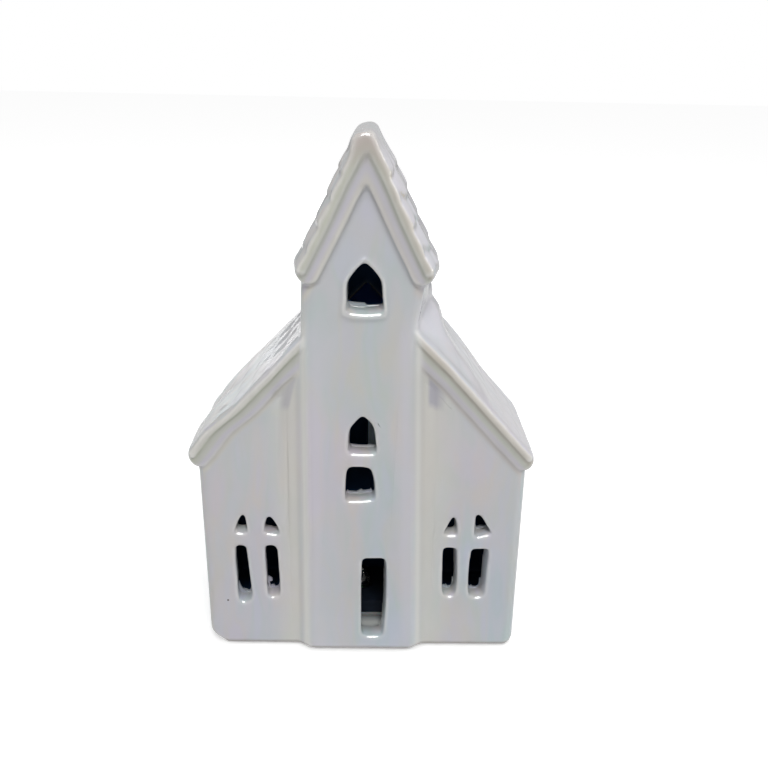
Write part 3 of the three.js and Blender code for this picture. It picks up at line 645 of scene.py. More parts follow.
def settled(points):
    """Each point moved as the soft body was in the making. There are also slow waves in the front walls,
    dents where the nave's inner bands end beside the tower, and toes where the tower's front corners lift."""
    x, y, z = points.T
    front = fade(-y, 8, 14)
    wave = np.sin(x / 6.1 + 0.7) * np.sin(z / 8.3 + 1.1) + 0.6 * np.sin(x / 3.7 - z / 5.2 + 2.0)
    dents = sum(hill(x, u, 2.2) * hill(z, v, 3.2) for u, v in DENTS)
    toes = hill(np.abs(x), 15.5, 2.2) * (1 - fade(z, 1, 6)) * (1 - fade(y, -19, -14))
    leans = tower_leans(x, y, z)
    moved = points.copy()
    moved[:, 0] += roof_turn(x, y, z) - sum(leans) - bowed_left(x, y, z)
    moved[:, 1] += (0.08 * wave + 1.2 * dents) * front
    moved[:, 2] += 2.1 * roof_sweep(x, y, z) + 0.8 * leans[0] * fade(x, 12, 16) * fade(z, 62, 75) + 0.5 * toes
    return moved


def set_points(mesh, points):
    """Gives the mesh its points, which are in millimetres."""
    mesh.vertices.foreach_set("co", (points * MM).ravel())
    mesh.update()


def get_points(mesh):
    """The mesh's points in millimetres."""
    points = np.empty(len(mesh.vertices) * 3)
    mesh.vertices.foreach_get("co", points)
    return points.reshape(-1, 3) / MM


def finished_mesh(piece):
    """The piece's mesh with its modifiers done."""
    graph = bpy.context.evaluated_depsgraph_get()
    return bpy.data.meshes.new_from_object(piece.evaluated_get(graph), depsgraph=graph)


def remove_helpers(piece):
    """Takes away the solids that were only joined to the piece or cut out of it."""
    for step in list(piece.modifiers):
        other = getattr(step, "object", None)
        if other:
            remove_helpers(other)
            bpy.data.objects.remove(other)
    piece.modifiers.clear()


church = church_body()
cells = church.modifiers.new("glaze_cells", "REMESH")
cells.mode = "VOXEL"
cells.voxel_size = CELL * MM
flow = church.modifiers.new("glaze_flow", "SMOOTH")
flow.factor = 0.5
flow.iterations = GLAZE_ROUNDS
fine = finished_mesh(church)
remove_helpers(church)
church.data = fine
thin = church.modifiers.new("thinned", "DECIMATE")
thin.ratio = FACES_KEPT / (2 * len(fine.polygons))
church.data = finished_mesh(church)
church.modifiers.clear()
church.data.shade_smooth()
cast = get_points(church.data)
set_points(church.data, settled(cast))
evened = church.modifiers.new("even_normals", "WEIGHTED_NORMAL")
evened.mode = "FACE_AREA_WITH_ANGLE"
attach(church, "church")
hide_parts("ceramic_house")

# The ceramic church: what the glaze looks like
# A white glaze with mother-of-pearl lustre, which drifts between lavender, cream, sea green and pale blue.
# It is whiter on the edges, where the glaze runs thin and a highlight is also painted. Painted shade greys
# the corners, the pockets beside the tower and the cuts, and painted light and highlights lie on the tower's
# front corners and on some slopes. It is cream beside the tower and follows the gables in bands. The inside
# is painted almost black as shade, with painted light on a strip of the floor and a streak on the rear wall.
NEUTRAL = (0.53, 0.54, 0.56, 1)
LUSTRE = [(0.34, (0.575, 0.52, 0.60, 1)), (0.43, (0.58, 0.54, 0.495, 1)), (0.50, NEUTRAL),
          (0.57, (0.45, 0.545, 0.525, 1)), (0.66, (0.49, 0.54, 0.645, 1))]
LEVELS = [(0.05, (0.525, 0.56, 0.60, 1)), (0.17, (0.51, 0.535, 0.575, 1)), (0.38, (0.555, 0.545, 0.60, 1)),
          (0.56, (0.575, 0.565, 0.60, 1)), (0.70, (0.495, 0.56, 0.555, 1)), (0.85, (0.51, 0.545, 0.555, 1)),
          (0.95, (0.54, 0.54, 0.57, 1))]
LEVEL_TOP = 120.0
GABLE_LEFT = [(0.10, (0.57, 0.56, 0.515, 1)), (0.20, (0.505, 0.515, 0.44, 1)),
              (0.30, (0.50, 0.505, 0.465, 1)), (0.41, (0.535, 0.52, 0.57, 1)),
              (0.54, (0.60, 0.585, 0.54, 1)), (0.66, NEUTRAL)]
GABLE_RIGHT = [(0.12, (0.54, 0.50, 0.435, 1)), (0.20, (0.475, 0.455, 0.395, 1)),
               (0.29, (0.49, 0.50, 0.445, 1)), (0.41, (0.51, 0.495, 0.53, 1)),
               (0.54, (0.545, 0.52, 0.505, 1)), (0.66, NEUTRAL)]
APEX_BLUSH = (0.50, 0.425, 0.41, 1)
GABLE_SPAN = 12.0
# Whiter on the edges: the glaze runs thin there, and a highlight is painted too.
EDGE_WHITE_AND_HIGHLIGHT = (0.74, 0.73, 0.71, 1)
# Painted shade in the corners.
CORNER_SHADE_GREY = (0.40, 0.40, 0.43, 1)
# Painted shade in the pockets beside the tower.
POCKET_PAINTED_SHADE = (0.42, 0.41, 0.455, 1)
# Painted highlight along the creases at the tower's front corners.
CREASE_PAINTED_HIGHLIGHT = (0.70, 0.70, 0.67, 1)
# Painted light on the tower's rounded front corners.
CORNER_PAINTED_LIGHT = (0.60, 0.585, 0.64, 1)
BASE_BROWN = (0.30, 0.27, 0.25, 1)
WALL_CREAM = (0.63, 0.615, 0.565, 1)
# Painted light on the cove and on some roof slopes.
SLOPES_PAINTED_LIGHT = (0.69, 0.675, 0.735, 1)
# The inside: painted shade, almost black, with a navy painted shade high on the rear wall.
INSIDE_PAINTED_SHADE = (0.007, 0.030, 0.080, 1)
# Painted light: the streak on the inner rear wall.
INSIDE_PAINTED_LIGHT_STREAK = (0.80, 0.92, 1.0, 1)
INSIDE_NAVY_SHADE = (0.05, 0.13, 0.48, 1)
# Painted shade, deeper into the cut openings.
REVEAL_SHADE_BROWN = (0.27, 0.255, 0.235, 1)
PINHOLES = ((-39.4, NAVE_FACE, 15.6), (-12.0, NAVE_BACK, 61.0), (45.3, 6.0, 22.0))
PINHOLE_RADIUS = 0.3
PINHOLE_BROWN = (0.12, 0.10, 0.10, 1)
# Painted light on the floor just inside the doorway.
DOORWAY_PAINTED_LIGHT = (0.62, 0.64, 0.61, 1)
INSIDE_DEEP = 0.6
INSIDE_BLEND = 0.6
# Lengths here are in millimetres. A pair is where a mark starts and where it is full, or its middle and its
# width; a group of four is where it starts, is full, begins to fall and ends.
STREAK_MIDDLE = 2.3
STREAK_HALF = 1.4
STREAK_LEVELS = (43.0, 48.0, 70.0, 80.0)
NAVY_LEVELS = (80.0, 85.0)
DOOR_MIDDLE = 3.5
STRIP_HALF = (7.5, 5.0)
STRIP_BACK = (-7.2, -12.8)
STRIP_LEVELS = (6.0, 5.2)
BAND_SHARES = (0.8, 0.55)
SIDE_CHANGE = (-6.25, 6.25)
APEX_LEVELS = (140.91, 150.0)
FOOT_LEVELS = (2.182, 1.273)
EDGE_BENDS = (0.125, 0.75)
# The bends where the painted corner shade starts and where it is full.
CORNER_SHADE_BENDS = (-0.077, -0.846)
CREASE_PLACE = (16.7, 1.1)
CORNER_PLACE = (13.4, 2.2)
LEFT_SHIFT = 0.9
BANDS_END = (6.3, 7.2)
CREAM_REACH = (16.8, 18.2, 20.0, 27.0)
POCKET_REACH = (18.3, 18.9, 19.8, 21.6)
POCKET_LEVELS = (75.4, 77.4)
POCKET_LEFT_SHARE = 0.6
POCKET_SHIFT = -0.6
POCKET_SLANT = 0.2
POCKET_TOP = 81.0
COVE_DEPTHS = (1.2, -0.4)
COVE_REACH = (15.0, 17.0)
COVE_LEVELS = (109.0, 104.0)
LEFT_ROOF_REACH = (-15.0, -17.0)
LEFT_ROOF_LEVELS = (72.0, 88.0, 110.0, 113.0)
LEFT_ROOF_SHARE = 0.6
TOWER_ROOF_REACH = (1.0, 4.0)
TOWER_ROOF_LEVELS = (110.0, 113.0)
TOWER_CUTS_HALF = 9.0
NAVE_CUTS_REACH = (20.5, 39.0)
NAVE_CUTS_TOP = 47.0
TOWER_CUTS_TOP = 119.0
REVEAL_DEPTHS = (1.2, 5.2)


def vertex_normals(mesh):
    """The mesh's normals, one for each point."""
    normals = np.empty(len(mesh.vertices) * 3)
    mesh.vertices.foreach_get("normal", normals)
    return normals.reshape(-1, 3)


def vertex_mark(mesh, name, values):
    """Stores one number for each point, for the material to read."""
    mark = mesh.attributes.new(name, "FLOAT", "POINT")
    mark.data.foreach_set("value", values.astype(np.float32))


def edge_curve(mesh, rounds=4):
    """Bend of the surface at each point, in 1/mm, positive on edges and negative in corners: the mean over
    its neighbours of twice the rise over them divided by the squared distance, then averaged some rounds."""
    points = get_points(mesh)
    normals = vertex_normals(mesh)
    pairs = np.empty(len(mesh.edges) * 2, int)
    mesh.edges.foreach_get("vertices", pairs)
    a, b = pairs.reshape(-1, 2).T
    count = len(points)
    step = points[a] - points[b]
    squared = np.sum(step ** 2, axis=1) + 1e-6
    neighbours = np.bincount(a, minlength=count) + np.bincount(b, minlength=count)
    rise_a = 2 * np.sum(normals[a] * step, axis=1) / squared
    rise_b = -2 * np.sum(normals[b] * step, axis=1) / squared
    bend = (np.bincount(a, rise_a, count) + np.bincount(b, rise_b, count)) / neighbours
    for _ in range(rounds):
        near = np.bincount(a, bend[b], count) + np.bincount(b, bend[a], count)
        bend = 0.4 * bend + 0.6 * near / neighbours
    return bend


def slope_depth(roof, x, z):
    """How far a point lies under the slope of a roof."""
    pitch = roof_slope(roof)[4]
    return (roof_middle(roof, 0) - z) * math.cos(pitch) - np.abs(x) * math.sin(pitch)


def gable_depth(points, normals):
    """Depth under the nearer roof's slope, on faces that look forwards; a large number elsewhere."""
    x, y, z = points.T
    forward = normals[:, 1] < -0.45
    tower = slope_depth(TOWER, x, z)
    nave = slope_depth(NAVE, x, z)
    on_tower = (y < TOWER_FACE + 1.5) & (tower < GABLE_SPAN) & (z > 104)
    on_nave = (y < NAVE_FACE + 0.5) & (np.abs(x) > TOWER_WIDTH / 2)
    depth = np.where(on_tower, tower, np.where(on_nave, nave, GABLE_SPAN))
    return np.where(forward, depth, GABLE_SPAN).clip(0, GABLE_SPAN)


def depth_inside(points, roof, width, front, back):
    """How far a point lies inside the walls and the roof of the nave or the tower, from its inner faces."""
    x, y, z = points.T
    depth = np.minimum.reduce([width / 2 - np.abs(x), y - front, back - y, slope_depth(roof, x, z)])
    return depth - WALL + INSIDE_DEEP


def inside_share(points):
    """One on the inside of the walls and roofs, nought on the outside, with the cut edges between."""
    depth = np.maximum(depth_inside(points, NAVE, NAVE_WIDTH, NAVE_FACE, NAVE_BACK),
                       depth_inside(points, TOWER, TOWER_WIDTH, TOWER_FACE, TOWER_BACK))
    return (depth / INSIDE_BLEND).clip(0, 1) * (points[:, 2] > FLOOR_TOP - 0.5)


def colour_ramp(tree, value, stops):
    """Colour by value; the stops are pairs of a place from 0 to 1 and a colour."""
    ramp = node(tree, "ShaderNodeValToRGB")
    ramp.color_ramp.interpolation = "EASE"
    elements = ramp.color_ramp.elements
    while len(elements) < len(stops):
        elements.new(0.5)
    for element, (place, colour) in zip(elements, stops):
        element.position = place
        element.color = colour
    feed(tree, ramp.inputs["Fac"], value)
    return ramp.outputs["Color"]


def mixed(tree, share, first, second):
    """Two colours mixed by a share, from nought for the first to one for the second."""
    mix = node(tree, "ShaderNodeMix", data_type="RGBA")
    feed(tree, mix.inputs["Factor"], share)
    feed(tree, mix.inputs["A"], first)
    feed(tree, mix.inputs["B"], second)
    return mix.outputs["Result"]


def mark_value(tree, name):
    """A mark that the points carry."""
    return node(tree, "ShaderNodeAttribute", attribute_name=name).outputs["Fac"]


def xyz(tree, vector):
    """The three parts of a vector."""
    parts = node(tree, "ShaderNodeSeparateXYZ")
    feed(tree, parts.inputs[0], vector)
    return parts.outputs


def ramp_up(tree, value, start, end):
    """Nought on the start's side, one on the end's side and a straight ramp between them."""
    return maths(tree, "MULTIPLY_ADD", value, 1 / (end - start), -start / (end - start), clamp=True)


def between(tree, value, start, full, falling, end):
    """Nought up to the start, one from full to falling, and nought past the end, with straight ramps."""
    return times(tree, ramp_up(tree, value, start, full), ramp_up(tree, value, end, falling))


def off_by(tree, value, middle):
    """How far a value is from the middle."""
    return maths(tree, "ABSOLUTE", maths(tree, "SUBTRACT", value, middle))


def stretched(tree, scale=(1, 1, 1), place=(0, 0, 0)):
    """Object coordinates, moved and scaled."""
    mapping = node(tree, "ShaderNodeMapping")
    feed(tree, mapping.inputs["Vector"], object_place(tree))
    mapping.inputs["Scale"].default_value = scale
    mapping.inputs["Location"].default_value = place
    return mapping.outputs["Vector"]


def noise(tree, vector, scale, detail=2.0, distortion=0.0):
    """Soft noise about a half; the scale is in waves to a metre."""
    texture = node(tree, "ShaderNodeTexNoise")
    feed(tree, texture.inputs["Vector"], vector)
    feed(tree, texture.inputs["Scale"], scale)
    texture.inputs["Detail"].default_value = detail
    texture.inputs["Distortion"].default_value = distortion
    return texture.outputs["Fac"]


def bumped(tree, height, strength, distance):
    """A normal that leans with the slope of the height."""
    bump = node(tree, "ShaderNodeBump")
    bump.inputs["Strength"].default_value = strength
    bump.inputs["Distance"].default_value = distance
    feed(tree, bump.inputs["Height"], height)
    return bump.outputs["Normal"]


def lustre_colour(tree, z):
    """The drifting colour of the open walls and roofs. On the roofs the streaks are stronger."""
    drift = noise(tree, stretched(tree, (1.0, 1.0, 0.45)), 42, 1.5, 0.6)
    level = maths(tree, "MULTIPLY_ADD", z, 1 / LEVEL_TOP, -0.08)
    level = maths(tree, "MULTIPLY_ADD", drift, 0.16, level)
    colour = mixed(tree, 0.45, colour_ramp(tree, level, LEVELS), colour_ramp(tree, drift, LUSTRE))
    streaks = noise(tree, stretched(tree, (1.0, 1.0, 0.25)), 130, 2.0, 0.3)
    share = maths(tree, "MULTIPLY_ADD", mark_value(tree, "roof"), 0.25, 0.3)
    return mixed(tree, share, colour, colour_ramp(tree, streaks, LUSTRE))


def gable_colour(tree, x, z, banded):
    """The bands that follow a gable, for its left and its right side, and the blush at the very top."""
    right = ramp_up(tree, x, *SIDE_CHANGE)
    bands = mixed(tree, right, colour_ramp(tree, banded, GABLE_LEFT), colour_ramp(tree, banded, GABLE_RIGHT))
    return mixed(tree, times(tree, ramp_up(tree, z, *APEX_LEVELS), 0.8), bands, APEX_BLUSH)


def inside_light_and_shade_paint(tree, x, y, z):
    """Painted shade, almost black, but painted light on the floor just inside the doorway, which darkens to
    the rear, painted navy shade high on the rear wall, and painted light in the streak down it."""
    # Painted light: the strip of floor just inside the doorway, darker to the rear.
    strip = times(tree, ramp_up(tree, z, *STRIP_LEVELS), ramp_up(tree, y, *STRIP_BACK),
                  ramp_up(tree, off_by(tree, x, DOOR_MIDDLE), *STRIP_HALF))
    colour = mixed(tree, strip, INSIDE_PAINTED_SHADE, DOORWAY_PAINTED_LIGHT)
    # Painted shade: navy high on the inner rear wall.
    on_rear = maths(tree, "GREATER_THAN", y, NAVE_BACK - WALL - 0.6)
    colour = mixed(tree, times(tree, on_rear, ramp_up(tree, z, *NAVY_LEVELS)), colour, INSIDE_NAVY_SHADE)
    # Painted light: a pale streak down the inner rear wall.
    in_streak = maths(tree, "LESS_THAN", off_by(tree, x, STREAK_MIDDLE), STREAK_HALF)
    streak = times(tree, in_streak, on_rear, between(tree, z, *STREAK_LEVELS))
    return mixed(tree, streak, colour, INSIDE_PAINTED_LIGHT_STREAK)


def beside_tower_marks(tree):
    """Beside the tower: the share of cream glaze on the nave's wall, the painted shade in the corners where
    the bands end, and painted light on the paler slopes: the left one high up, and on the right the cove and
    the tower's.
    They are reckoned from each point's place as it was cast."""
    x, y, z = xyz(tree, node(tree, "ShaderNodeAttribute", attribute_name="cast").outputs["Vector"])
    out = maths(tree, "ABSOLUTE", x)
    pitch = roof_slope(NAVE)[4]
    depth = maths(tree, "MULTIPLY_ADD", z, -math.cos(pitch), roof_middle(NAVE, 0) * math.cos(pitch))
    depth = maths(tree, "MULTIPLY_ADD", out, -math.sin(pitch), depth)
    on_front = maths(tree, "LESS_THAN", y, NAVE_FACE + 4)
    under = times(tree, ramp_up(tree, depth, *BANDS_END), on_front)
    cream = times(tree, between(tree, out, *CREAM_REACH), under)
    on_right = maths(tree, "GREATER_THAN", x, 0.0)
    slant = maths(tree, "MULTIPLY_ADD", z, POCKET_SLANT, -POCKET_SLANT * POCKET_TOP)
    start = maths(tree, "MULTIPLY_ADD", maths(tree, "SUBTRACT", 1.0, on_right), slant, out)
    start = maths(tree, "MULTIPLY_ADD", on_right, POCKET_SHIFT, start)
    share = maths(tree, "MULTIPLY_ADD", on_right, 1 - POCKET_LEFT_SHARE, POCKET_LEFT_SHARE)
    # Painted shade in the pockets where the bands end beside the tower.
    pocket_shade = times(tree, ramp_up(tree, z, *POCKET_LEVELS), between(tree, start, *POCKET_REACH), share, under)
    left_roof = times(tree, ramp_up(tree, x, *LEFT_ROOF_REACH), between(tree, z, *LEFT_ROOF_LEVELS))
    tower_roof = times(tree, ramp_up(tree, z, *TOWER_ROOF_LEVELS), ramp_up(tree, x, *TOWER_ROOF_REACH))
    # Painted light on the paler slopes: the left roof high up and the tower's roof.
    pale = maths(tree, "MULTIPLY_ADD", left_roof, LEFT_ROOF_SHARE, tower_roof)
    cove = times(tree, ramp_up(tree, depth, *COVE_DEPTHS), ramp_up(tree, x, *COVE_REACH),
                 ramp_up(tree, z, *COVE_LEVELS))
    cove = maths(tree, "MULTIPLY_ADD", pale, mark_value(tree, "roof"), cove)
    return cream, pocket_shade, cove


def pearl_glaze():
    """The glaze, laid in this order: lustre, gable bands, the marks beside the tower (painted light on the
    rounded corners, a painted highlight on the creases, painted light on some slopes, cream on the wall),
    edges whiter from thin glaze and a painted highlight, painted shade in the corners and deeper into the
    cuts, painted shade in the pockets, a brown line along the foot, the inside painted dark as shade with
    some painted light, and the pinholes."""
    material, tree, surface = blank_material("pearl_glaze")
    place = stretched(tree, (1000, 1000, 1000))
    x, y, z = xyz(tree, place)
    banded = maths(tree, "DIVIDE", mark_value(tree, "gable_depth"), GABLE_SPAN)
    colour = mixed(tree, ramp_up(tree, banded, *BAND_SHARES), lustre_colour(tree, z),
                   gable_colour(tree, x, z, banded))
    crease = mark_value(tree, "crease")
    cream, pocket_shade, cove = beside_tower_marks(tree)
    pale = maths(tree, "MAXIMUM", cream, crease)
    bend = mark_value(tree, "bend")
    # Painted shade in the corners, where the surface bends inwards, but not where it is painted pale.
    corner_shade = times(tree, ramp_up(tree, bend, *CORNER_SHADE_BENDS), maths(tree, "SUBTRACT", 1.0, pale))
    inside = mark_value(tree, "inside")
    for mark, share, shade in (
            # Painted light on the tower's rounded front corners.
            (mark_value(tree, "corner"), 0.6, CORNER_PAINTED_LIGHT),
            # Painted highlight along the creases.
            (crease, 0.9, CREASE_PAINTED_HIGHLIGHT),
            # Painted light on the cove and the paler slopes.
            (cove, 0.8, SLOPES_PAINTED_LIGHT),
            (cream, 0.7, WALL_CREAM),
            # Edges whiter: thin glaze there, and a painted highlight.
            (ramp_up(tree, bend, *EDGE_BENDS), 0.8, EDGE_WHITE_AND_HIGHLIGHT),
            # Painted shade in the corners.
            (corner_shade, 0.4, CORNER_SHADE_GREY),
            # Painted shade deeper into the cuts.
            (mark_value(tree, "reveal"), 0.65, REVEAL_SHADE_BROWN),
            # Painted shade in the pockets beside the tower.
            (pocket_shade, 1.0, POCKET_PAINTED_SHADE),
            # A brown line along the very bottom of the foot.
            (ramp_up(tree, z, *FOOT_LEVELS), 0.7, BASE_BROWN),
            # The inside, painted dark as shade, with some painted light.
            (inside, 1.0, inside_light_and_shade_paint(tree, x, y, z))):
        colour = mixed(tree, times(tree, mark, share), colour, shade)
    for pinhole in PINHOLES:
        apart = node(tree, "ShaderNodeVectorMath", operation="DISTANCE")
        feed(tree, apart.inputs[0], place)
        apart.inputs[1].default_value = pinhole
        spot = maths(tree, "LESS_THAN", apart.outputs["Value"], PINHOLE_RADIUS)
        colour = mixed(tree, spot, colour, PINHOLE_BROWN)
    ripple = noise(tree, stretched(tree), 420, 1.0)
    feed(tree, surface, principled(
        tree, Base_Color=colour, Roughness=maths(tree, "MULTIPLY_ADD", inside, 0.4, 0.3),
        Coat_Weight=maths(tree, "SUBTRACT", 1.0, inside), Coat_Roughness=0.04, Coat_IOR=1.5,
        Specular_IOR_Level=0.1, Normal=bumped(tree, ripple, 0.12, 0.0003)))
    return material


def beside_tower(points, normals, middle, width):
    """Upright bands along both sides of the tower's front, up to its roof."""
    x, y, z = points.T
    forward = fade(-normals[:, 1], 0.1, 0.5)
    band = hill(np.abs(x) + LEFT_SHIFT * (x < 0), middle, width)
    return band * forward * (y < -12) * (1 - fade(z, 96, 112))


def cut_reveal(points):
    """The cut surfaces of the openings: nought at the wall's face, one at its inside."""
    x, y, z = points.T
    out = np.abs(x)
    in_tower = (out < TOWER_CUTS_HALF) & (z < TOWER_CUTS_TOP)
    in_nave = (out > NAVE_CUTS_REACH[0]) & (out < NAVE_CUTS_REACH[1]) & (z < NAVE_CUTS_TOP)
    return fade(y - TOWER_FACE, *REVEAL_DEPTHS) * in_tower + fade(y - NAVE_FACE, *REVEAL_DEPTHS) * in_nave


# Where the marks lie is reckoned on the body as it was cast, before it settled.
facing = vertex_normals(church.data)
marks = {
    "gable_depth": gable_depth(cast, facing),
    "bend": edge_curve(church.data),
    "inside": inside_share(cast),
    # corner: a band of painted light on the tower's rounded front corners; crease: a painted highlight along
    # them.
    "corner": beside_tower(cast, facing, *CORNER_PLACE),
    "crease": beside_tower(cast, facing, *CREASE_PLACE),
    # reveal: where the painted shade falls in the cuts, deeper into the wall.
    "reveal": cut_reveal(cast) * (cast[:, 1] < NAVE_FACE + WALL),
    "roof": fade(facing[:, 2], 0.2, 0.5),
}
for mark_name, mark_values in marks.items():
    vertex_mark(church.data, mark_name, mark_values)
cast_mark = church.data.attributes.new("cast", "FLOAT_VECTOR", "POINT")
cast_mark.data.foreach_set("vector", cast.astype(np.float32).ravel())
glaze = pearl_glaze()
church.data.materials.clear()
church.data.materials.append(glaze)

# The ceramic church: burrs
# Where the knife came through, ragged flakes of clay were left on the lower inside edges of some openings.
# For each, BURRS has how far up the edge it starts, and its height along the edge from left to right.
# The share of the inside's painted shade that the burrs take.
BURR_SHADE_SHARE = 0.4
BURRS = {
    "window_upper": (1.0, [(0.0, 0.0), (0.06, 0.6), (0.5, 0.7), (0.55, 0.1), (0.9, 0.0), (1.0, 0.0)]),
    "window_middle": (1.0, [(0.0, 0.0), (0.1, 0.15), (0.6, 0.1), (0.7, 0.3), (0.8, 0.05), (1.0, 0.0)]),
    "window_square": (1.2, [(0.0, 0.0), (0.12, 0.7), (0.2, 0.3), (0.45, 0.1), (0.55, 0.6), (0.6, 0.75),
                            (0.64, 0.3), (0.85, 0.4), (0.92, 0.9), (1.0, 0.0)]),
    "light_1_slot": (4.6, [(0.0, 0.0), (0.12, 0.35), (0.3, 0.9), (0.36, 1.5), (0.42, 0.9), (0.47, 1.4),
                           (0.53, 0.3), (0.58, 0.8), (0.64, 0.1), (0.8, 0.2), (1.0, 0.0)]),
    "light_2_slot": (4.6, [(0.0, 0.2), (0.05, 1.1), (0.13, 1.2), (0.15, 0.2), (0.3, 0.4), (0.4, 1.3),
                           (0.46, 0.6), (0.5, 1.0), (0.56, 0.1), (0.8, 0.2), (1.0, 0.0)]),
    "light_3_slot": (4.0, [(0.0, 0.4), (0.12, 0.7), (0.17, 0.1), (0.34, 0.2), (0.4, 0.8), (0.45, 0.3),
                           (0.5, 0.8), (0.55, 0.2), (0.62, 0.0), (1.0, 0.0)]),
    "light_4_slot": (4.0, [(0.0, 0.1), (0.3, 0.3), (0.38, 0.8), (0.44, 0.2), (0.5, 0.7), (0.56, 0.1),
                           (0.64, 0.0), (1.0, 0.0)]),
    "light_4_head": (3.0, [(0.0, 0.0), (0.2, 0.7), (0.26, 0.2), (0.5, 0.5), (0.6, 0.1), (1.0, 0.0)]),
}


def clay_burr(name, cut, start, heights):
    """A thin profile with four corners, carried along the lowest part of an opening's outline. Its upper
    edge goes straight from each height to the next."""
    face, lean, points = cut
    outline = closed_spline(points, 24)
    x, z = outline.T
    if np.sum(x * np.roll(z, -1) - np.roll(x, -1) * z) < 0:
        outline = outline[::-1]
    outline = np.roll(outline, -int(outline[:, 1].argmax()), axis=0)
    way = np.concatenate([[0], np.cumsum(np.linalg.norm(np.diff(outline, axis=0), axis=1))])
    low = outline[:, 1] < outline[:, 1].min() + start
    share = (way - way[low][0]) / np.ptp(way[low])
    rise = np.interp(share, *np.transpose(heights))
    sill = sill_share(outline)
    edge = MOUTH_FLARE + CUT_TAPER + (SILL_FLARE - SILL_DROP) * sill
    corners = []
    for back, height in ((4.2, None), (5.3, None), (5.2, 1.0), (4.5, 0.9)):
        ring = drawn_in(outline, edge - 0.6 if height is None else edge + rise * height)[low]
        x = ring[:, 0] + lean * back / WALL
        corners.append(np.stack([x, np.full(len(ring), face + back), ring[:, 1]], axis=1))
    return ring_solid(name, np.array(corners).transpose(1, 0, 2))


for cut_name, (burr_start, burr_heights) in BURRS.items():
    burr = clay_burr("burr_" + cut_name, CUTS[cut_name], burr_start, burr_heights)
    set_points(burr.data, settled(get_points(burr.data)))
    plain = np.zeros(len(burr.data.vertices))
    vertex_mark(burr.data, "gable_depth", plain + GABLE_SPAN)
    # The burrs take part of the inside's painted shade.
    vertex_mark(burr.data, "inside", plain + BURR_SHADE_SHARE)
    burr.data.materials.append(glaze)
    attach(burr, "church")

# The foot pads
# Four discs punched from pressed grey felt and glued under the corners of the church. The punch leaves a
# fairly crisp rim, and short fibres stand up all over.
PAD_RADIUS = 3.5
PAD_HEIGHT = 0.8
FELT_PALE = (0.20, 0.20, 0.21, 1)
FELT_DARK = (0.09, 0.09, 0.10, 1)


def turned(name, profile, centre, around=64, wobble=0.0):
    """A profile of (radius, height) carried round an upright axis. The radius swells and shrinks by the
    wobble three and seven times on the way round."""
    turn = np.linspace(0, 2 * np.pi, around, endpoint=False)
    swell = 1 + wobble * (np.sin(3 * turn + centre[0]) + 0.5 * np.sin(7 * turn + centre[1]))
    profile = np.asarray(profile, float)
    x = centre[0] + profile[:, :1] * swell * np.cos(turn)
    y = centre[1] + profile[:, :1] * swell * np.sin(turn)
    z = np.broadcast_to(profile[:, 1:], x.shape)
    return ring_solid(name, np.stack([x, y, z], axis=-1))


def dressed(piece, body, slot, material, *nodes, crease=35):
    """Gives a new piece its body, its material and the nodes that it stands for. The slot is not used."""
    piece.data.shade_smooth()
    piece.data.set_sharp_from_angle(angle=math.radians(crease))
    piece.data.materials.append(material)
    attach(piece, body)
    if nodes:
        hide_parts(*nodes)


def box_middle(name):
    """Middle of a node's box in millimetres."""
    low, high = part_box(name)
    return [(a + b) / 2 / MM for a, b in zip(low, high)]


def surface_grain():
    """Fine unevenness that felt, plastic, rubber and metal share. It puts out a value about a half for
    colour and roughness, and a height for bumps."""
    group = bpy.data.node_groups.new("surface_grain", "ShaderNodeTree")
    for name, side, kind in (("Scale", "INPUT", "Float"), ("Stretch", "INPUT", "Vector"),
                             ("Shade", "OUTPUT", "Float"), ("Height", "OUTPUT", "Float")):
        group.interface.new_socket(name, in_out=side, socket_type="NodeSocket" + kind)
    inlet = node(group, "NodeGroupInput")
    outlet = node(group, "NodeGroupOutput")
    mapping = node(group, "ShaderNodeMapping")
    feed(group, mapping.inputs["Vector"], object_place(group))
    feed(group, mapping.inputs["Scale"], inlet.outputs["Stretch"])
    scale = inlet.outputs["Scale"]
    coarse = noise(group, mapping.outputs["Vector"], times(group, scale, 0.12), 3.0)
    fine = noise(group, mapping.outputs["Vector"], scale, 2.0)
    shade = maths(group, "MULTIPLY_ADD", fine, 0.4, times(group, coarse, 0.6))
    feed(group, outlet.inputs["Shade"], shade)
    feed(group, outlet.inputs["Height"], fine)
    return group


GRAIN = surface_grain()


def grained(name, dark, pale, rough, scale, bump, stretch=(1, 1, 1), contrast=2.0, **sockets):
    """A material whose colour and roughness drift with the grain and whose surface is bumped by it. The
    other sockets are set plainly on the shader."""
    material, tree, surface = blank_material(name)
    grain = node(tree, "ShaderNodeGroup", node_tree=GRAIN)
    grain.inputs["Scale"].default_value = scale
    grain.inputs["Stretch"].default_value = stretch
    share = maths(tree, "MULTIPLY_ADD", grain.outputs["Shade"], contrast, 0.5 - 0.5 * contrast, clamp=True)
    feed(tree, surface, principled(
        tree, Base_Color=mixed(tree, share, dark, pale),
        Roughness=maths(tree, "MULTIPLY_ADD", share, rough[1] - rough[0], rough[0]),
        Normal=bumped(tree, grain.outputs["Height"], 1.0, bump * MM), **sockets))
    return material


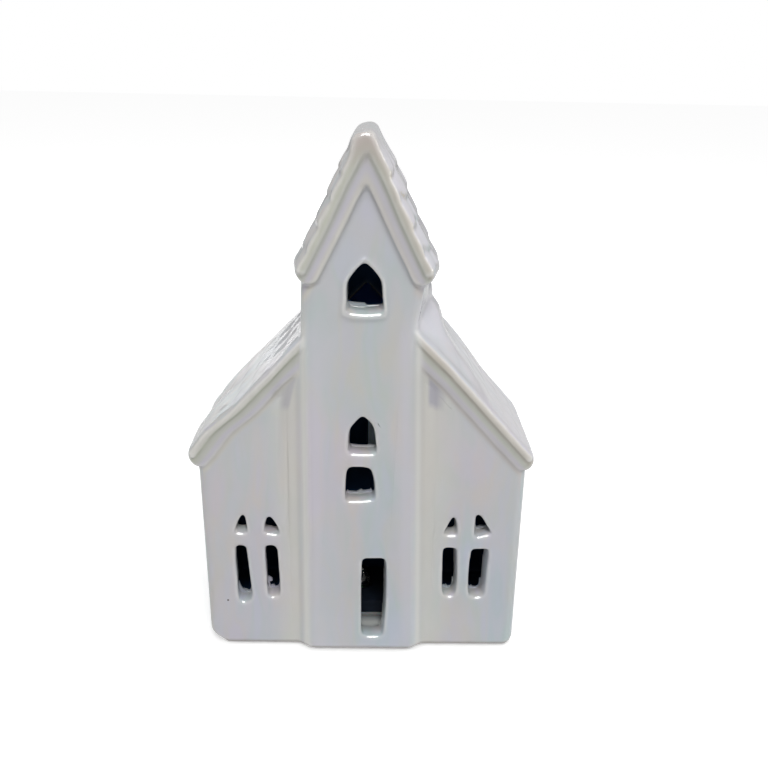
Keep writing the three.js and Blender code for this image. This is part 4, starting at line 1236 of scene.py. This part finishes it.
felt = grained("felt", FELT_DARK, FELT_PALE, (0.85, 1.0), 3500, 0.12, Sheen_Weight=0.4, Sheen_Roughness=0.6)
for corner in ("front_left", "front_right", "rear_left", "rear_right"):
    middle = box_middle("foot_pad_" + corner)
    rim = PAD_RADIUS - 0.12
    pad = turned("felt_pad_" + corner, [(0.05, 0.0), (rim * 0.5, 0.0), (rim, 0.0), (PAD_RADIUS, 0.12),
                                        (PAD_RADIUS, 0.4), (PAD_RADIUS - 0.03, PAD_HEIGHT - 0.05),
                                        (rim, PAD_HEIGHT), (0.05, PAD_HEIGHT)], middle, wobble=0.002)
    dressed(pad, "church", "felt", felt, "foot_pad_" + corner)

# The lamp's case
# A flanged base, a shallow cap and a door for the cell, moulded in black plastic with a fine matt grain.
# The cap clips into the base, and a soft milky sleeve round it grips the hole in the church's floor.
PLASTIC_DARK = (0.003, 0.005, 0.010, 1)
PLASTIC_PALE = (0.006, 0.012, 0.024, 1)
SILICONE_DARK = (0.20, 0.21, 0.21, 1)
SILICONE_PALE = (0.29, 0.30, 0.30, 1)


def refined(name, material, edge):
    """Gives a CAD part its material and rounds its edges."""
    part = bpy.data.objects[name]
    part.data.materials.clear()
    part.data.materials.append(material)
    weld = part.modifiers.new("weld", "WELD")
    weld.merge_threshold = 0.00001
    bevel = part.modifiers.new("edges", "BEVEL")
    bevel.width = edge * MM
    bevel.segments = 3
    bevel.limit_method = "ANGLE"
    bevel.angle_limit = math.radians(40)
    bevel.harden_normals = True


black_plastic = grained("black_plastic", PLASTIC_DARK, PLASTIC_PALE, (0.5, 0.65), 5000, 0.02,
                        Specular_IOR_Level=0.15)
silicone = grained("silicone", SILICONE_DARK, SILICONE_PALE, (0.45, 0.6), 1500, 0.03,
                   Subsurface_Weight=0.3, Subsurface_Scale=0.002)
for part_name, edge_width in (("lamp_base", 0.22), ("lamp_cap", 0.3), ("battery_door", 0.18)):
    refined(part_name, black_plastic, edge_width)
refined("silicone_sleeve", silicone, 0.25)

# The screws
# Three short pan-head screws of zinc-plated steel, rolled, with a cross recess. Two hold the cap to the
# base. The third holds the door; its thread stops short of the head, so that it stays in the door.
SCREW_HEAD_RADIUS = 1.5
SCREW_HEAD_HEIGHT = 0.6
THREAD_PITCH = 0.7
THREAD_CREST = 0.85
THREAD_ROOT = 0.6
CROSS_REACH = 0.9
CROSS_WIDTH = 0.2
CROSS_DEPTH = 0.38
ZINC_DARK = (0.50, 0.50, 0.49, 1)
ZINC_PALE = (0.68, 0.68, 0.66, 1)


def soft_step(value, edge, blend):
    """One below the edge, nought above it, with half a cosine wave between."""
    return (1 + np.cos(np.pi * np.clip((value - edge) / blend + 0.5, 0, 1))) / 2


def screw_surface(x, y, bottom, top, name, around=96):
    """The head's face is a height field on rings from the middle outwards, sunk by the cross recess. Then
    the rings go round the head's edge and up the shank, whose radius swings between root and crest as a
    triangle wave of height less turn, which makes the thread, and shrinks to a blunt tip."""
    turn = np.linspace(0, 2 * np.pi, around, endpoint=False)[None, :]
    face = np.linspace(0.03, SCREW_HEAD_RADIUS - 0.15, 18)[:, None]
    u, v = face * np.cos(turn), face * np.sin(turn)
    slots = np.maximum(soft_step(np.abs(u), CROSS_WIDTH, 0.14) * soft_step(np.abs(v), CROSS_REACH, 0.3),
                       soft_step(np.abs(v), CROSS_WIDTH, 0.14) * soft_step(np.abs(u), CROSS_REACH, 0.3))
    dome = 0.1 * (face / SCREW_HEAD_RADIUS) ** 2
    face_z = dome + CROSS_DEPTH * slots * (1 - 0.5 * face / SCREW_HEAD_RADIUS)
    rim = np.array([(1.45, 0.17), (1.5, 0.27), (1.5, 0.5), (1.44, SCREW_HEAD_HEIGHT),
                    (0.9, SCREW_HEAD_HEIGHT)])
    climb = np.linspace(SCREW_HEAD_HEIGHT + 0.1, top - bottom, 60)[:, None]
    wave = 2 * np.abs(np.mod(climb / THREAD_PITCH - turn / (2 * np.pi), 1) - 0.5)
    tip = np.clip((top - bottom - climb) / 0.5, 0, 1)
    thread = (THREAD_ROOT + (THREAD_CREST - THREAD_ROOT) * wave ** 1.5) * (0.45 + 0.55 * np.sqrt(tip))
    radius = np.concatenate([face + 0 * turn, rim[:, :1] + 0 * turn, thread])
    height = np.concatenate([face_z, rim[:, 1:] + 0 * turn, climb + 0 * turn])
    rings = np.stack([x + radius * np.cos(turn), y + radius * np.sin(turn), bottom + height], axis=-1)
    return ring_solid(name, rings)


zinc = grained("screw_steel", ZINC_DARK, ZINC_PALE, (0.22, 0.38), 2500, 0.008, Metallic=1.0)
for node_name, body in (("battery_door_screw", "door_screw"), ("case_screw_front", "lamp"),
                        ("case_screw_rear", "lamp")):
    low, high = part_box(node_name)
    middle = box_middle(node_name)
    screw = screw_surface(middle[0], middle[1], low[2] / MM, high[2] / MM, "threaded_" + node_name)
    dressed(screw, body, "screw_steel", zinc, node_name)

# The light
# A clear 5 mm light-emitting diode. Its epoxy body is cast with a collar that has one flat, over a tinned
# lead frame: a post, and an anvil with the cup that holds the chip.
LED_RADIUS = 2.5
LED_COLLAR = 2.9
LED_FLAT = 2.5
FRAME_Z = 7.3
FRAME_HALF = 0.22


def led_body():
    """A profile carried round the axis: collar, upright side and half-round dome. Points of the collar
    that lie past the flat are moved back onto it."""
    middle = box_middle("led_bulb")
    low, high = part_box("led_bulb")
    base = low[2] / MM
    shoulder = high[2] / MM - LED_RADIUS
    dome = arc((0, shoulder), LED_RADIUS, 0, 89, 24)
    collar = [(0.05, base), (2.4, base), (LED_COLLAR - 0.1, base), (LED_COLLAR, base + 0.1),
              (LED_COLLAR, base + 0.85), (LED_COLLAR - 0.12, base + 0.97), (2.58, base + 1.0),
              (2.5, base + 1.1)]
    profile = np.concatenate([collar, dome])
    turn = np.linspace(0, 2 * np.pi, 72, endpoint=False)
    x = profile[:, :1] * np.cos(turn)
    x = np.maximum(x, -LED_FLAT)
    y = profile[:, :1] * np.sin(turn)
    z = np.broadcast_to(profile[:, 1:], x.shape)
    return ring_solid("led_epoxy_body", np.stack([x + middle[0], y + middle[1], z], axis=-1))


def blade(name, outline, half_width, middle):
    """A flat stamping: an elevation outline (x, z), carried across its thickness."""
    shape = np.array(outline) + (middle[0], 0)
    return carried_back(name, shape, [middle[1] - half_width, middle[1] + half_width])


def clear_epoxy():
    """Clear and glossy, with a faint drift of tint."""
    material, tree, surface = blank_material("led_epoxy")
    flow = noise(tree, stretched(tree), 600, 1.0)
    feed(tree, surface, principled(
        tree, Base_Color=mixed(tree, flow, (0.93, 0.95, 0.93, 1), (0.98, 0.98, 0.96, 1)),
        Roughness=times(tree, flow, 0.06), Transmission_Weight=1.0, IOR=1.5, Specular_IOR_Level=0.2))
    return material


dressed(led_body(), "lamp", "led_epoxy", clear_epoxy(), "led_bulb")

tinned = grained("tinned_wire", (0.60, 0.60, 0.58, 1), (0.74, 0.74, 0.72, 1), (0.18, 0.32), 3000, 0.004,
                 Metallic=1.0)
led_middle = box_middle("led_bulb")
anvil = blade("led_anvil", [
    (-1.52, FRAME_Z), (-1.02, FRAME_Z), (-1.02, 9.6), (0.3, 10.9), (0.75, 12.4), (0.35, 12.4), (0.2, 12.05),
    (-0.35, 12.05), (-0.5, 12.4), (-1.3, 12.4), (-1.5, 10.2)], FRAME_HALF, led_middle)
post = blade("led_post", [
    (1.02, FRAME_Z), (1.52, FRAME_Z), (1.52, 9.9), (1.35, 12.1), (0.95, 12.3), (0.95, 11.0), (1.05, 9.9)],
    FRAME_HALF, led_middle)
for stamping in (anvil, post):
    dressed(stamping, "lamp", "tinned_wire", tinned)
for lead in ("led_anode_lead", "led_cathode_lead"):
    refined(lead, tinned, 0.05)

# The circuit board
# A small board of green glass-fibre laminate over the cell. It carries the light, one chip resistor with
# tinned ends, and the switch. Copper tracks show paler through the varnish.
BOARD_GREEN = (0.010, 0.075, 0.035, 1)
TRACK_GREEN = (0.035, 0.16, 0.07, 1)
GLASS_GREEN = (0.06, 0.12, 0.06, 1)
TRACK_GRID = 3.2


def board_laminate():
    """Tracks on a grid, paler than the board, under a green varnish."""
    material, tree, surface = blank_material("board_laminate")
    x, y, z = xyz(tree, stretched(tree, (1000, 1000, 1000)))
    across = maths(tree, "PINGPONG", y, TRACK_GRID / 2)
    along = maths(tree, "PINGPONG", x, TRACK_GRID * 1.7)
    track = maths(tree, "MAXIMUM", maths(tree, "LESS_THAN", across, 0.25),
                  maths(tree, "LESS_THAN", along, 0.22))
    weave = noise(tree, stretched(tree), 2500, 2.0)
    colour = mixed(tree, track, BOARD_GREEN, TRACK_GREEN)
    feed(tree, surface, principled(
        tree, Base_Color=mixed(tree, times(tree, weave, 0.3), colour, GLASS_GREEN),
        Roughness=maths(tree, "MULTIPLY_ADD", weave, 0.2, 0.25), Coat_Weight=0.6, Coat_Roughness=0.12,
        Normal=bumped(tree, track, 0.5, 0.00004)))
    return material


def chip_resistor():
    """Black and speckled, with a tinned end on each side."""
    material, tree, surface = blank_material("chip_body")
    low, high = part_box("resistor")
    x, y, z = xyz(tree, object_place(tree))
    off_middle = off_by(tree, x, (low[0] + high[0]) / 2)
    tinned_end = maths(tree, "GREATER_THAN", off_middle, (high[0] - low[0]) * 0.32)
    speckle = noise(tree, stretched(tree), 6000, 2.0)
    body = mixed(tree, speckle, (0.010, 0.010, 0.012, 1), (0.035, 0.035, 0.04, 1))
    feed(tree, surface, principled(
        tree, Base_Color=mixed(tree, tinned_end, body, (0.66, 0.66, 0.64, 1)), Metallic=tinned_end,
        Roughness=maths(tree, "MULTIPLY_ADD", speckle, 0.3, 0.25)))
    return material


refined("circuit_board", board_laminate(), 0.08)
refined("resistor", chip_resistor(), 0.06)

# The switch
# A miniature slide switch: a folded steel shell, and a black slider whose knob stands through the base.
SHELL_DARK = (0.45, 0.45, 0.44, 1)
SHELL_PALE = (0.62, 0.62, 0.60, 1)
shell_steel = grained("switch_steel", SHELL_DARK, SHELL_PALE, (0.25, 0.42), 1800, 0.01, stretch=(1, 0.1, 1),
                      Metallic=1.0)
refined("switch_case", shell_steel, 0.12)
refined("switch_slider", black_plastic, 0.1)

# The cell and its contacts
# A 16 mm coin cell: a drawn steel can, crimped over a dark gasket round a smaller steel lid. A bent strip
# touches the can's side, and a spring leaf under the board touches the lid.
CELL_RADIUS = 8.0
LID_RADIUS = 6.75
GASKET_WIDTH = 0.35


def cell_steel():
    """Satin steel, dark where the gasket shows round the lid."""
    material, tree, surface = blank_material("cell_steel")
    middle = box_middle("coin_cell")
    place = stretched(tree, (1, 1, 0), (-middle[0] * MM, -middle[1] * MM, 0))
    reach = node(tree, "ShaderNodeVectorMath", operation="LENGTH")
    feed(tree, reach.inputs[0], place)
    off_gasket = off_by(tree, reach.outputs["Value"], (LID_RADIUS + 0.2) * MM)
    above = maths(tree, "GREATER_THAN", xyz(tree, object_place(tree))[2], (middle[2] + 0.6) * MM)
    gasket = times(tree, maths(tree, "LESS_THAN", off_gasket, GASKET_WIDTH / 2 * MM), above)
    grain = noise(tree, place, 900.0)
    metal = mixed(tree, grain, (0.52, 0.52, 0.51, 1), (0.70, 0.70, 0.69, 1))
    feed(tree, surface, principled(
        tree, Base_Color=mixed(tree, gasket, metal, (0.02, 0.02, 0.022, 1)),
        Metallic=maths(tree, "SUBTRACT", 1.0, gasket),
        Roughness=maths(tree, "MULTIPLY_ADD", grain, 0.25, 0.15)))
    return material


cell_low, cell_high = (corner[2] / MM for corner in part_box("coin_cell"))
cell = turned("coin_cell_can", [
    (0.05, cell_low), (5.0, cell_low), (7.55, cell_low), (7.85, cell_low + 0.1),
    (CELL_RADIUS, cell_low + 0.35), (CELL_RADIUS, cell_high - 0.5), (7.92, cell_high - 0.2),
    (7.7, cell_high - 0.07), (7.35, cell_high - 0.1), (7.1, cell_high - 0.22), (6.85, cell_high - 0.22),
    (LID_RADIUS, cell_high - 0.08), (6.5, cell_high), (3.0, cell_high), (0.05, cell_high),
], box_middle("coin_cell"), around=128)
dressed(cell, "lamp", "cell_steel", cell_steel(), "coin_cell")
spring_steel = grained("contact_spring", (0.56, 0.53, 0.46, 1), (0.72, 0.70, 0.63, 1), (0.2, 0.34), 2200,
                       0.006, Metallic=1.0)
for contact in ("plus_contact", "minus_contact"):
    refined(contact, spring_steel, 0.05)
